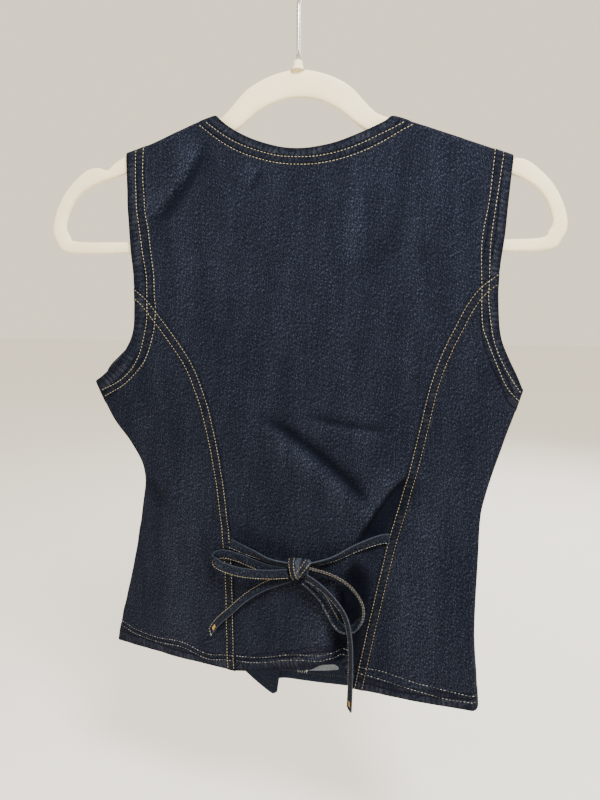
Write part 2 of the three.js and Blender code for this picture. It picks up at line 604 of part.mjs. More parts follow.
// A flat strip along a stretch: its width lies upright, or else flat on the cloth, turned by the roll.
function strip(rows, { upright, pieces }) {
  const places = rows.map(({ x, z, lift }) => new THREE.Vector3(x, lift, z));
  const route = new THREE.CatmullRomCurve3(places, false, 'centripetal');
  const rolls = new THREE.CatmullRomCurve3(rows.map(({ roll }, k) => new THREE.Vector3(roll, k, 0)));
  const stations = spread(pieces).map((t) => {
    const { x, y, z } = route.getPoint(t);
    const at = clothAt(backLayer, x, z, { lift: y, folded: false });
    return { ...at, roll: rolls.getPoint(t).x };
  });
  const halfWidth = tieWidth / 2;
  const halfThick = tieThick / 2;
  const section = [
    [-halfWidth, 0], [-halfWidth + tieBevel, -halfThick], [halfWidth - tieBevel, -halfThick],
    [halfWidth, 0], [halfWidth - tieBevel, halfThick], [-halfWidth + tieBevel, halfThick],
  ];
  const rings = stations.map(({ point, normal, roll }, k) => {
    const before = stations[Math.max(k - 1, 0)].point;
    const after = stations[Math.min(k + 1, pieces)].point;
    const along = after.clone().sub(before).normalize();
    const across = upright ? new THREE.Vector3(0, 0, 1) : normal.clone().cross(along);
    across.addScaledVector(along, -across.dot(along)).normalize();
    across.applyAxisAngle(along, THREE.MathUtils.degToRad(roll));
    const facing = across.clone().cross(along);
    return section.map(([w, h]) => point.clone().addScaledVector(across, w).addScaledVector(facing, h));
  });
  return tubeFrom(rings, false);
}

// A closed solid through rings of points, with flat ends or joined round into a loop
function tubeFrom(rings, looped) {
  const around = rings[0].length;
  const positions = rings.flat().flatMap(({ x, y, z }) => [x, y, z]);
  const indices = [];
  const last = looped ? rings.length : rings.length - 1;
  for (let k = 0; k < last; k += 1) {
    const next = ((k + 1) % rings.length) * around;
    for (let i = 0; i < around; i += 1) {
      const j = (i + 1) % around;
      const here = k * around;
      indices.push(here + i, next + i, next + j, here + i, next + j, here + j);
    }
  }
  if (!looped) {
    const end = (rings.length - 1) * around;
    for (let i = 1; i < around - 1; i += 1) {
      indices.push(0, i, i + 1, end, end + i + 1, end + i);
    }
  }
  const geometry = new THREE.BufferGeometry();
  geometry.setAttribute('position', new THREE.Float32BufferAttribute(positions, 3));
  geometry.setIndex(indices);
  geometry.computeVertexNormals();
  return geometry;
}

addPiece('tie_strap_left', strip(strapLeft, { upright: true, pieces: 12 }), tieCloth);
addPiece('tie_strap_right', strip(strapRight, { upright: true, pieces: 14 }), tieCloth);
addPiece('bow_loop_left', strip(loopLeft, { upright: true, pieces: 26 }), tieCloth);
addPiece('bow_loop_right', strip(loopRight, { upright: false, pieces: 30 }), tieCloth);
addPiece('tie_tail_left', strip(tailLeft, { upright: false, pieces: 16 }), tieCloth);
addPiece('tie_tail_right', strip(tailRight, { upright: false, pieces: 20 }), tieCloth);

function knotGeometry() {
  const ball = new THREE.SphereGeometry(1, 14, 9);
  const position = ball.attributes.position;
  const square = (value) => Math.sign(value) * Math.abs(value) ** knotSquareness;
  for (let i = 0; i < position.count; i += 1) {
    position.setXYZ(i, square(position.getX(i)), square(position.getY(i)), square(position.getZ(i)));
  }
  return ball.scale(knotSize.x, knotSize.y, knotSize.z);
}
const knot = addPiece('bow_knot', knotGeometry(), tieCloth);
const knotSeat = clothAt(backLayer, knotPlace.x, knotPlace.z, { lift: knotPlace.lift, folded: false });
knot.position.copy(knotSeat.point);
knot.quaternion.setFromUnitVectors(new THREE.Vector3(0, 1, 0), knotSeat.normal.setZ(0).normalize());

// Hanger: one flat moulded frame with rounded edges
function hangerGeometry() {
  const mirrored = hangerArm.slice(1).reverse().map(({ ox, oz, ix, iz }) => ({ ox: -ox, oz, ix: -ix, iz }));
  const around = 8;
  const soft = (value) => Math.sign(value) * Math.abs(value) ** hangerRounding;
  const rings = hangerArm.concat(mirrored).map(({ ox, oz, ix, iz }) => {
    const outer = new THREE.Vector3(ox, 0, oz);
    const inner = new THREE.Vector3(ix, 0, iz);
    const middle = outer.clone().add(inner).multiplyScalar(0.5);
    const reach = outer.clone().sub(middle);
    return spread(around).slice(1).map((t) => middle.clone()
      .addScaledVector(reach, soft(cosine(360 * t)))
      .setY(soft(sine(360 * t)) * hangerThick / 2));
  });
  return tubeFrom(rings, true);
}
addPiece('hanger', hangerGeometry(), velvet).position.x = hookX;

const archTopZ = hangerArm[0].oz;
const nubBevel = 1;
const nubProfile = [
  [0, 0], [nubRadius + nubFlare, 0], [nubRadius, nubHeight / 2], [nubRadius, nubHeight - nubBevel],
  [nubRadius - nubBevel, nubHeight], [0, nubHeight],
].map(([r, h]) => new THREE.Vector2(r, h));
const nub = addPiece('hanger_nub', new THREE.LatheGeometry(nubProfile, 16).rotateX(Math.PI / 2), velvet);
nub.position.set(hookX, 0, archTopZ + seamGap);

// Hook: a stem, a bend to the wearer's right and a round over the rod, its inside top at the origin
const hookCentreZ = wireRadius - hookRadius;
const stemTopZ = hookCentreZ - Math.sqrt((hookRadius + hookNeckRadius) ** 2 - hookNeckRadius ** 2);
const bendDegrees = THREE.MathUtils.radToDeg(Math.acos(hookNeckRadius / (hookRadius + hookNeckRadius)));
const stemFootZ = archTopZ + 2 * seamGap + nubHeight;
const hookPath = spread(3).map((t) => new THREE.Vector3(0, 0, lerp(stemFootZ, stemTopZ, t)));
for (const t of spread(5).slice(1)) {
  const turn = bendDegrees * t;
  const x = hookNeckRadius * (cosine(turn) - 1);
  hookPath.push(new THREE.Vector3(x, 0, stemTopZ + hookNeckRadius * sine(turn)));
}
for (const t of spread(20).slice(1)) {
  const turn = lerp(180 + bendDegrees, hookTipDegrees, t);
  hookPath.push(new THREE.Vector3(hookRadius * cosine(turn), 0, hookCentreZ + hookRadius * sine(turn)));
}
const wireSection = new THREE.Shape(spread(8).slice(1).map((t) => new THREE.Vector2(
  wireRadius * cosine(360 * t), wireRadius * sine(360 * t))));
addPiece('hook', new THREE.ExtrudeGeometry(wireSection, {
  steps: 44,
  bevelEnabled: false,
  extrudePath: new THREE.CatmullRomCurve3(hookPath, false, 'centripetal'),
}), steel).position.x = hookX;

// The origin is at the hook.
vest.position.x = -hookX;

export default vest;
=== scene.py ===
import math
import random

import bmesh
import bpy
import numpy as np
from mathutils import Matrix, Vector


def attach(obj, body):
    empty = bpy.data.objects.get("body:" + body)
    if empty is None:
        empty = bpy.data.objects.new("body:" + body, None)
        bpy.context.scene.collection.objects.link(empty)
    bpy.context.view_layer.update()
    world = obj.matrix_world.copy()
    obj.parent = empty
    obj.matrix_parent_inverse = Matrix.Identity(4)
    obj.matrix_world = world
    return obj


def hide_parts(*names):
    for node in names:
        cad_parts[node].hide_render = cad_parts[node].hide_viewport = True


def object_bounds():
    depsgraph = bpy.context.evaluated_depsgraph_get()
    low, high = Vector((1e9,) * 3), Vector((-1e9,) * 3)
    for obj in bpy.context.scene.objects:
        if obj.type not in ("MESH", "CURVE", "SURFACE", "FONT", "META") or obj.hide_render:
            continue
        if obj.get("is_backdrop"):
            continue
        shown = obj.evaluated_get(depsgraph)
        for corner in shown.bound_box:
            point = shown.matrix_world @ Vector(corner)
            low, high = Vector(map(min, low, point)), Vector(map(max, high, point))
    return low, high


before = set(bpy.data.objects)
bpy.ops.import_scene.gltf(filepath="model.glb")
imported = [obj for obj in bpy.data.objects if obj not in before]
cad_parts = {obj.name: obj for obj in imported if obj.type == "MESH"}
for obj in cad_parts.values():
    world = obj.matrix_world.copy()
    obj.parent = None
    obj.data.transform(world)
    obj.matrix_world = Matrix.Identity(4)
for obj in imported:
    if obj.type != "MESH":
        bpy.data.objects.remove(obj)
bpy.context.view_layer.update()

mm = 0.001
random.seed(7)
scene = bpy.context.scene
vestSize = {
    "slipX": -2.5,  # how far the vest hangs towards the wearer's right of the hook
    "cloth": 1.0,  # thickness of the denim
    "seamRoll": 4,  # the cloth rolls over to the other layer this far from a side or shoulder seam
    "openRoll": 1.5,  # the same at an open edge
    "rollShare": 0.4,  # a roll takes no more than this share of a panel's width
    "overlap": 1.2,  # a middle panel runs this far under the side panel
    "seamDepth": 0.15,  # half the distance of the layers where they meet
    "underarmZ": -362,
    "twistTopZ": -330,
    "twistEndZ": -610,
    "twistDegrees": 12,
}
rollDegrees = (0, 18, 36, 54, 72)  # steps of a roll, then 90 on the flat

# z, x of each armhole edge and side seam
armholes = {
    "left": [(-160, 152), (-209, 152), (-240, 150.5), (-275, 147.5), (-300, 147.5), (-316, 149), (-328, 154),
             (-340, 163), (-352, 176), (-362, 189)],
    "right": [(-170, -174), (-200, -172), (-235, -170), (-266, -167), (-300, -168), (-318, -171), (-335, -178),
              (-350, -186), (-362, -191.5)],
}
sideSeams = {
    "left": [(-362, 189), (-395, 176), (-418, 161.5), (-440, 151), (-458, 150), (-494, 158), (-549, 173),
             (-606, 190), (-645, 198)],
    "right": [(-362, -191.5), (-380, -186), (-404, -178), (-440, -167), (-466, -161), (-500, -160), (-568, -160),
              (-610, -164), (-645, -167)],
}
princessSeams = {
    "left": [(-277, 146), (-286, 135), (-301, 122.5), (-320, 107.5), (-339, 94.5), (-359, 85.5), (-386, 77.2),
             (-430, 69), (-470, 64.2), (-512, 61), (-560, 58.3), (-645, 54.8)],
    "right": [(-264, -165.5), (-275, -151.5), (-289, -141), (-305, -133), (-322, -125), (-340, -118),
              (-361, -112), (-400, -104.5), (-457, -93), (-493, -84), (-554, -73), (-613, -63), (-645, -56.5)],
}
# x, z, seam of the back's top edge: seam is 1 on a shoulder seam and 0 on the open neck edge
backTop = [
    (152, -160.5, 1), (138, -156, 1), (121, -150, 1), (105, -143.5, 1), (89, -137.5, 1), (74, -133, 1),
    (72, -133.5, 0.35), (69, -135.5, 0), (60, -142.5, 0), (48, -149.5, 0), (35, -155, 0), (18, -160, 0),
    (2, -162, 0), (-14, -161, 0), (-30, -158, 0), (-45, -153, 0), (-59, -147.5, 0), (-72.5, -141, 0),
    (-75.5, -138.5, 0.35), (-78, -137.5, 1), (-95, -143, 1), (-113, -149, 1), (-132, -155.5, 1),
    (-150, -161.7, 1), (-174, -170, 1),
]
# x, z of each hem
backHem = [(198, -636.5), (150, -639), (93, -641), (58, -637.5), (35, -632.5), (11, -625.5), (-12, -618.5),
           (-30, -611), (-44, -611.5), (-57, -630), (-80, -634.5), (-125, -635.5), (-167, -632.5)]
frontHems = {
    "left": [(198, -636.5), (150, -642), (100, -651), (66, -661), (46, -674.5), (34, -681.5), (29, -679)],
    "right": [(-167, -632.5), (-100, -645), (-47, -654), (5, -660), (28, -664), (46, -672), (54, -670)],
}
# z, x of the fronts' inner edges: the V of the neck, then the lapping front edge
frontEdges = {
    "left": [(-133, 74), (-170, 62), (-220, 40), (-265, 14), (-296, -12), (-310, -14), (-420, -8), (-520, 4),
             (-600, 17), (-680, 29)],
    "right": [(-137.5, -78), (-170, -67), (-220, -44), (-265, -18), (-296, 8), (-310, 11), (-420, 17),
              (-520, 29), (-600, 42), (-682, 54)],
}
# z, left, right: how far each front's armhole edge stands out past the back's
frontShows = [(-290, 0, 0), (-316, 3, 1), (-330, 7.5, 2.5), (-346, 9.5, 3), (-362, 0, 0)]
# z, back, front, edge: how far the layers lie from the middle plane
depths = [
    (-125, 8, 7, 4.6), (-165, 9, 7.5, 4.6), (-246, 11, 9, 5.6), (-300, 14, 12, 9), (-340, 16, 14, 10),
    (-362, 16, 15, 7), (-440, 15, 16, 6), (-524, 13, 17, 7), (-600, 18, 20, 9), (-690, 21, 22, 10),
]


def readTable(rows, at, column=1):  # a table read as a smooth curve
    keys = np.array([row[0] for row in rows], float)
    values = np.array([row[column] for row in rows], float)
    if keys[0] > keys[-1]:
        keys, values = keys[::-1], values[::-1]
    before = np.maximum(np.arange(len(keys)) - 1, 0)
    after = np.minimum(np.arange(len(keys)) + 1, len(keys) - 1)
    slopes = (values[after] - values[before]) / (keys[after] - keys[before])
    i = np.clip(np.searchsorted(keys, at) - 1, 0, len(keys) - 2)
    span = keys[i + 1] - keys[i]
    t = np.clip((at - keys[i]) / span, 0, 1)
    start = (2 * t**3 - 3 * t**2 + 1) * values[i] + (t**3 - 2 * t**2 + t) * span * slopes[i]
    return start + (3 * t**2 - 2 * t**3) * values[i + 1] + (t**3 - t**2) * span * slopes[i + 1]


def soften(t):
    t = np.clip(t, 0, 1)
    return t * t * (3 - 2 * t)


def edgeX(side, z):  # x of the back's armhole edge, then of the side seam
    z = np.asarray(z, float)
    return np.where(z > vestSize["underarmZ"], readTable(armholes[side], z), readTable(sideSeams[side], z))


foldShape = {
    "past": 0.12,  # share of its length that a crease runs on past each end
    "taper": 0.35,  # share over which it dies out there
    "edgeFade": 0.12,  # share of the half width over which creases die out beside an edge
}


def foldsAt(folds, x, z):  # height of all the creases
    past, fade = foldShape["past"], foldShape["taper"]
    out = np.zeros(np.broadcast(x, z).shape)
    for x0, z0, x1, z1, width, otherWidth, height, bend in folds:
        dx, dz = x1 - x0, z1 - z0
        run = math.hypot(dx, dz)
        along = ((x - x0) * dx + (z - z0) * dz) / run**2
        bow = 4 * bend * np.clip(along, 0, 1) * (1 - np.clip(along, 0, 1))
        across = ((x - x0) * dz - (z - z0) * dx) / run - bow
        taper = soften((along + past) / fade) * soften((1 + past - along) / fade)
        out += height * taper * np.exp(-((across / np.where(across > 0, width, otherWidth)) ** 2))
    return out


def depthAt(layer, x, z, folds):  # how far a layer lies from the middle plane
    left, right = edgeX("left", z), edgeX("right", z)
    across = np.clip((2 * x - left - right) / (left - right), -1, 1)
    edge = readTable(depths, z, 3)
    middle = readTable(depths, z, 1 if layer > 0 else 2)
    fade = soften((1 - np.abs(across)) / foldShape["edgeFade"])
    return layer * (edge + (middle - edge) * (1 - across**2) + foldsAt(folds, x, z) * fade)


# x0, z0, x1, z1, width to the wearer's right, width to the left, height, bend of each crease
backFolds = [
    (86, -157, 133, -219, 2.2, 13, 2.8, 3),
    (81, -159, 129, -222, 7, 2.4, -2.9, 3),
    (35, -178, 47, -194, 2.2, 9, 1.3, 0),
    (32, -180, 44, -196, 4.5, 2.2, -1.7, 0),
    (104, -212, 96, -270, 10, 10, 0.8, 2),
    (-50, -190, -40, -262, 9, 9, 1, 2),
    (-84, -226, -52, -268, 8, 8, -0.9, 2),
    (-120, -176, -98, -240, 9, 9, 0.9, 3),
    (32, -398, -60, -471, 3, 13, 2.1, 4),
    (28, -391, -67, -465, 7.5, 2.2, -4.2, 4),
    (-12, -392, -82, -403, 2.6, 9, 0.9, -2),
    (-9, -387, -80, -398, 4.5, 2.2, -2, -2),
    (-94, -434, -54, -498, 3, 13, 2, -3),
    (-99, -438, -60, -503, 13, 3.6, -7, -3),
    (-40, -524, -30, -640, 3.2, 15, 2.4, -3),
    (-55, -520, -46, -619, 14, 4.5, -11, -3),
    (60, -499, 4, -517, 10, 10, -1.5, 0),
    (148, -452, 130, -486, 6, 10, -2, 2),
    (112, -430, 120, -640, 20, 20, 1.6, 4),
    (-118, -470, -112, -640, 20, 20, 1.6, -4),
]
frontFolds = [
    (96, -350, 40, -400, 12, 7, 1.4, 3),
    (92, -343, 36, -393, 6, 10, -1.2, 3),
    (-98, -352, -36, -412, 7, 12, 1.4, -3),
    (-94, -345, -32, -405, 10, 6, -1.2, -3),
    (130, -462, 96, -480, 12, 12, -1, 2),
    (-138, -470, -100, -492, 12, 12, -1, 2),
    (54, -500, 62, -650, 16, 16, 1.4, 3),
    (-50, -510, -58, -650, 16, 16, 1.4, -3),
]
layers = {"back": (1, backFolds), "front": (-1, frontFolds)}


def twisted(v, z):  # the lower part of the vest hangs turned about the vertical
    top, end = vestSize["twistTopZ"], vestSize["twistEndZ"]
    turn = math.radians(vestSize["twistDegrees"]) * soften((top - z) / (top - end))
    x = v[..., 0] * np.cos(turn) + v[..., 1] * np.sin(turn)
    y = v[..., 1] * np.cos(turn) - v[..., 0] * np.sin(turn)
    return np.stack([x, y, v[..., 2]], -1)


# points and normals of a layer: turn is 1 on the flat and 0 at the end of a roll, away the way it rolls to
def clothAt(layerName, x, z, lift=0.0, turn=1.0, away=None, folded=True):
    layer, folds = layers[layerName]
    folds = folds if folded else []
    x, z = np.broadcast_arrays(np.asarray(x, float), np.asarray(z, float))
    step = 0.5  # for the slopes
    slopeX = (depthAt(layer, x + step, z, folds) - depthAt(layer, x - step, z, folds)) / (2 * step)
    slopeZ = (depthAt(layer, x, z + step, folds) - depthAt(layer, x, z - step, folds)) / (2 * step)
    normal = np.stack([-slopeX, np.ones_like(x), -slopeZ], -1) * layer
    normal /= np.linalg.norm(normal, axis=-1, keepdims=True)
    turn = np.broadcast_to(turn, x.shape)
    if away is not None:
        normal = normal * turn[..., None] + away * np.sqrt(np.maximum(0, 1 - turn**2))[..., None]
        normal /= np.linalg.norm(normal, axis=-1, keepdims=True)
    seamY = layer * vestSize["seamDepth"]
    y = seamY + (depthAt(layer, x, z, folds) - seamY) * turn
    point = np.stack([x, y, z], -1) + normal * np.broadcast_to(lift, x.shape)[..., None]
    return twisted(point, z), twisted(normal, z)


def toMetres(points):
    return (points + np.array([vestSize["slipX"], 0, 0])) * mm


def smoothLine(points, count=160):  # a smooth line of x, z places through the given ones
    points = np.array(points, float)
    steps = np.concatenate([[0], np.cumsum(np.hypot(*np.diff(points, axis=0).T))])
    t = np.linspace(0, steps[-1], count)
    return np.column_stack([readTable(np.column_stack([steps, points[:, k]]), t) for k in (0, 1)])


def offsetLine(line, distance):  # the line moved to its left as it runs
    along = np.gradient(line, axis=0)
    along /= np.linalg.norm(along, axis=1, keepdims=True)
    shift = np.broadcast_to(distance, len(line))[:, None]
    return line + np.column_stack([-along[:, 1], along[:, 0]]) * shift


def distanceTo(line, x, z):  # distance from a line and the length along it
    start, step = line[:-1], np.diff(line, axis=0)
    lengths = np.hypot(*step.T)
    runs = np.concatenate([[0], np.cumsum(lengths)[:-1]])
    flat = np.column_stack([np.ravel(x), np.ravel(z)])
    best, where = np.full(len(flat), 1e9), np.zeros(len(flat))
    for k in range(len(step)):
        t = np.clip(((flat - start[k]) @ step[k]) / lengths[k] ** 2, 0, 1)
        gap = np.linalg.norm(flat - start[k] - t[:, None] * step[k], axis=1)
        near = gap < best
        best[near], where[near] = gap[near], runs[k] + t[near] * lengths[k]
    return best.reshape(np.shape(x)), where.reshape(np.shape(x))


def level(a, b):  # a straight line from a to b
    return lambda s: a + (b - a) * np.asarray(s, float)


# rows down a panel: z along the row, z at its ends, degrees of roll
def rowsBetween(levels, counts, topRolls):
    roll = vestSize["seamRoll"]
    rows = []
    for degrees in rollDegrees if topRolls else ():
        rise = roll * math.cos(math.radians(degrees))
        rows.append((lambda s, rise=rise: levels[0](s) + rise, levels[0], degrees))
    for k, count in enumerate(counts):
        for t in np.linspace(0, 1, count + 1)[1 if k else 0:]:
            zAt = lambda s, k=k, t=t: levels[k](s) * (1 - t) + levels[k + 1](s) * t
            rows.append((zAt, zAt, 90))
    return rows


# x, z, turn and away over a grid
def panelPlaces(columns, rows, innerX, outerX, sideSign=0, seamAt=None):
    s = np.array([c[0] for c in columns], float)
    rolls = np.radians([c[1] for c in columns])
    rolled = np.array([c[1] < 90 for c in columns])
    x, z, turn = (np.zeros((len(s), len(rows))) for _ in range(3))
    away = np.zeros((len(s), len(rows), 3))
    for j, (zAt, ends, degrees) in enumerate(rows):
        inner, outer = float(innerX(ends(0.0))), float(outerX(ends(1.0)))
        closed = sideSign and ends(1.0) <= vestSize["underarmZ"] + 0.01
        wanted = vestSize["seamRoll"] if closed else vestSize["openRoll"]
        rollWidth = min(wanted, abs(outer - inner) * vestSize["rollShare"]) if sideSign else 0
        flat = inner + (outer - sideSign * rollWidth - inner) * s
        x[:, j] = np.where(rolled, outer - sideSign * rollWidth * (1 - np.cos(rolls)), flat)
        z[:, j] = zAt(s)
        sideTurn = np.sin(rolls) if closed else np.ones_like(s)
        seam = seamAt(s) if seamAt else np.ones_like(s)
        topTurn = 1 - seam * (1 - math.sin(math.radians(degrees)))
        aways = np.column_stack([sideSign * (1 - sideTurn), np.zeros_like(s), 1 - topTurn])
        size = np.linalg.norm(aways, axis=1, keepdims=True)
        away[:, j] = np.where(size > 1e-9, aways / np.maximum(size, 1e-9), 0)
        turn[:, j] = sideTurn * topTurn
    return x, z, turn, away


class Wire:  # a shader value that takes sums, products and powers
    def __init__(self, tree, socket):
        self.tree, self.socket = tree, socket

    def math(self, operation, *others):
        node = self.tree.nodes.new("ShaderNodeMath")
        node.operation = operation
        for k, value in enumerate((self, *others)):
            if isinstance(value, Wire):
                self.tree.links.new(value.socket, node.inputs[k])
            else:
                node.inputs[k].default_value = value
        return Wire(self.tree, node.outputs[0])

    def __add__(self, other):
        return self.math("ADD", other)

    def __sub__(self, other):
        return self.math("SUBTRACT", other)

    def __mul__(self, other):
        return self.math("MULTIPLY", other)

    def __truediv__(self, other):
        return self.math("DIVIDE", other)

    def __pow__(self, other):
        return self.math("POWER", other)

    def __rsub__(self, other):
        return (self * -1.0) + other

    def __rtruediv__(self, other):
        return (self ** -1.0) * other

    __radd__, __rmul__ = __add__, __mul__

    def sine(self):
        return self.math("SINE")

    def clamped(self):
        return self.math("MINIMUM", 1.0).math("MAXIMUM", 0.0)

    def between(self, low, high):  # 0 below low, 1 above high, soft between
        t = ((self - low) / (high - low)).clamped()
        return t * t * (3.0 - 2.0 * t)


class Look:  # a material and its node tree
    def __init__(self, name, color, roughness, metallic=0.0, **constants):
        self.material = bpy.data.materials.new(name)
        self.material.use_nodes = True
        self.tree = self.material.node_tree
        self.surface = self.tree.nodes["Principled BSDF"]
        self.surface.inputs["Base Color"].default_value = (*color, 1)
        self.surface.inputs["Roughness"].default_value = roughness
        self.surface.inputs["Metallic"].default_value = metallic
        for socket, value in constants.items():
            self.surface.inputs[socket.replace("_", " ")].default_value = value

    def node(self, kind, inputs, output=0, **settings):  # inputs by name or number
        made = self.tree.nodes.new("ShaderNode" + kind)
        for key, value in settings.items():
            setattr(made, key, value)
        for key, value in inputs.items():
            if isinstance(value, Wire):
                self.tree.links.new(value.socket, made.inputs[key])
            else:
                made.inputs[key].default_value = value
        return Wire(self.tree, made.outputs[output])

    def uv(self, name):
        return self.node("UVMap", {}, uv_map=name)

    def attribute(self, name):
        return self.node("Attribute", {}, "Fac", attribute_name=name)

    def parts(self, vector):
        split = self.node("SeparateXYZ", {0: vector}).socket.node
        return [Wire(self.tree, socket) for socket in split.outputs]

    def vector(self, x, y, z=0.0):
        return self.node("CombineXYZ", {"X": x, "Y": y, "Z": z})

    def noise(self, vector, scale=1.0, detail=2.0, roughness=0.5):
        inputs = {"Vector": vector, "Scale": scale, "Detail": detail, "Roughness": roughness}
        return self.node("TexNoise", inputs)

    def mix(self, factor, first, second):  # a colour between two, which are numbers 6 and 7 on the node
        first, second = (color if isinstance(color, Wire) else (*color, 1) for color in (first, second))
        return self.node("Mix", {0: factor, 6: first, 7: second}, 2, data_type="RGBA")

    def feed(self, socket, value):
        self.tree.links.new(value.socket, self.surface.inputs[socket])

    def bump(self, height, distance, strength=1.0):
        inputs = {"Height": height, "Distance": distance, "Strength": strength}
        self.feed("Normal", self.node("Bump", inputs))


denimLook = {
    "dark": (0.0007, 0.0016, 0.0056),
    "light": (0.039, 0.047, 0.075),
    "worn": (0.034, 0.037, 0.048),
    "roughness": 0.88,
    "gloss": 0.08,
    "twillDegrees": 62,
    "yarnPitch": 0.0011,  # across the twill lines
    "fleckSize": (0.00065, 0.0021),  # across and along the twill lines
    "fleckNoise": (2.0, 0.6),  # detail and roughness
    "fleckRange": (0.47, 0.74),
    "cloud": (55.0, 14.0, 3.0, 0.25, 0.8),  # scale across and down, detail, range
    "streak": (700.0, 16.0, 2.0, 0.3, 0.8),
    "fleckTone": (0.45, 0.3, 0.5),  # plain, in clouds, in streaks
    "cloudTone": 0.05,
    "twillTone": 0.07,
    # crease map: ridges lighter from wear, troughs darker as painted shade
    "creaseRange": (-0.42, 0.4),
    "creaseWearAndShadeTone": (1.5, 0.2),
    "bumps": (0.5, 0.6, 3.0),  # of twill, flecks, seams
    "bumpDepth": 0.00022,
    "bumpStrength": 0.8,
}
# the cloth's reverse inside the vest, darkened as painted shade; its own pale colour is paleColors
reverseShadeColors = ((0.004, 0.0068, 0.017), (0.036, 0.044, 0.065))
paleColors = ((0.12, 0.145, 0.17), (0.3, 0.335, 0.37))
tieLook = {
    "colors": ((0.0014, 0.0028, 0.0085), (0.078, 0.092, 0.122)),
    "flecks": 0.5,
    "girth": 0.0206,  # round a folded tie, whose two edges are worn
    "edgeRange": (0.7, 1.0),
    "edgeTone": (0.3, 0.5, 0.15),  # of twill, flecks, plain
}
seamLook = {  # place is 1 on the first row of stitches and 2 on the second
    "wander": (90.0, 0.7),  # scale of the noise along and across a seam
    "puckerPitch": 0.0045,  # ropes between an edge and its stitches
    "puckerBend": (9.0, 1.6),
    "nearRange": (1.5, 2.6),
    "grooveSharpness": 5.0,
    "wearRange": (0.35, 0.75),
    "wearTone": 0.75,
    "grooveTone": 0.45,
    "channel": ((0.85, 1.1), (1.85, 2.1), 0.4),  # dark cloth between the two rows
    "ditch": ((0.1, 0.5), 0.55),  # dark line at the seam itself
}


def addSeams(look, color, height):  # ropes, grooves and wear beside the stitches
    facts = seamLook
    run, place, _ = look.parts(look.uv("seams"))
    wander = look.noise(look.vector(run * facts["wander"][0], place * facts["wander"][1]))
    bend = wander * facts["puckerBend"][0] + place * facts["puckerBend"][1]
    ropes = (run * (2 * math.pi / facts["puckerPitch"]) + bend).sine() * 0.5 + 0.5
    near = 1.0 - place.between(*facts["nearRange"])
    first, second = (((place - row) * facts["grooveSharpness"]).math("ABSOLUTE").between(0.0, 1.0)
                     for row in (1.0, 2.0))
    groove = first * second
    height = height + (ropes * near + groove) * denimLook["bumps"][2]
    wear = near * ropes * wander.between(*facts["wearRange"]) * groove
    color = look.mix((wear * facts["wearTone"]).clamped(), color, denimLook["worn"])
    start, end, channelTone = facts["channel"]
    channel = place.between(*start) * (1.0 - place.between(*end)) * channelTone
    ditch = (1.0 - place.between(*facts["ditch"][0])) * facts["ditch"][1]
    shade = ((1.0 - groove) * facts["grooveTone"] + channel + ditch).clamped()
    return look.mix(shade, color, denimLook["dark"]), height


def denimLike(name, colors, flecks=1.0, seams=False, girth=0):
    facts = denimLook
    look = Look(name, colors[0], facts["roughness"], Specular_IOR_Level=facts["gloss"])
    u, v, _ = look.parts(look.uv("cloth"))
    angle = math.radians(facts["twillDegrees"])
    along = u * math.cos(angle) + v * math.sin(angle)
    across = v * math.cos(angle) - u * math.sin(angle)
    wide, long = facts["fleckSize"]
    fleckPlace = look.vector(across * (1 / wide), along * (1 / long))
    fleck = look.noise(fleckPlace, 1.0, *facts["fleckNoise"]).between(*facts["fleckRange"])
    cloud, streak = (look.noise(look.vector(u * scaleU, v * scaleV), 1.0, detail).between(low, high)
                     for scaleU, scaleV, detail, low, high in (facts["cloud"], facts["streak"]))
    twill = (across * (2 * math.pi / facts["yarnPitch"])).sine() * 0.5 + 0.5
    plain, clouded, streaked = facts["fleckTone"]
    tone = (fleck * (cloud * clouded + streak * streaked + plain) + cloud * facts["cloudTone"]) * flecks
    tone = tone + twill * facts["twillTone"]
    height = twill * facts["bumps"][0] + fleck * facts["bumps"][1]
    if seams:  # ridges wear pale; troughs are darkened as painted shade
        creaseWearAndShade = look.parts(look.uv("wear"))[0].between(*facts["creaseRange"])
        tone = tone * (creaseWearAndShade * facts["creaseWearAndShadeTone"][0] + facts["creaseWearAndShadeTone"][1])
    if girth:
        wave = (u * (2 * math.pi / girth) + math.pi / 2).sine()
        edge = wave.math("ABSOLUTE").between(*tieLook["edgeRange"])
        fromTwill, fromFlecks, plain = tieLook["edgeTone"]
        tone = tone + edge * (twill * fromTwill + fleck * fromFlecks + plain)
    color = look.mix(tone.clamped(), *colors)
    if seams:
        color, height = addSeams(look, color, height)
    look.feed("Base Color", color)
    look.bump(height, facts["bumpDepth"], facts["bumpStrength"])
    return look.material


def threadLike(name, dark, light, roughness, **constants):  # each stitch has its own tint
    look = Look(name, light, roughness, **constants)
    look.feed("Base Color", look.mix(look.attribute("tint"), dark, light))
    return look.material


denim = denimLike("denim", (denimLook["dark"], denimLook["light"]), seams=True)
# reverse of the cloth, darkened as painted shade
reverseInPaintedShade = denimLike("reverseInPaintedShade", reverseShadeColors)
paleReverse = denimLike("paleReverse", paleColors)
tieDenim = denimLike("tieDenim", tieLook["colors"], tieLook["flecks"], girth=tieLook["girth"])
thread = threadLike("thread", (0.17, 0.12, 0.045), (0.46, 0.42, 0.28), 0.75, Sheen_Weight=0.1)
ochreThread = Look("ochreThread", (0.42, 0.24, 0.05), 0.75).material
# its near-black dark end serves as painted shadow on the overlock stitches outside their lit span
paleThread = threadLike("paleThread", (0.01, 0.011, 0.013), (0.55, 0.56, 0.54), 0.8)

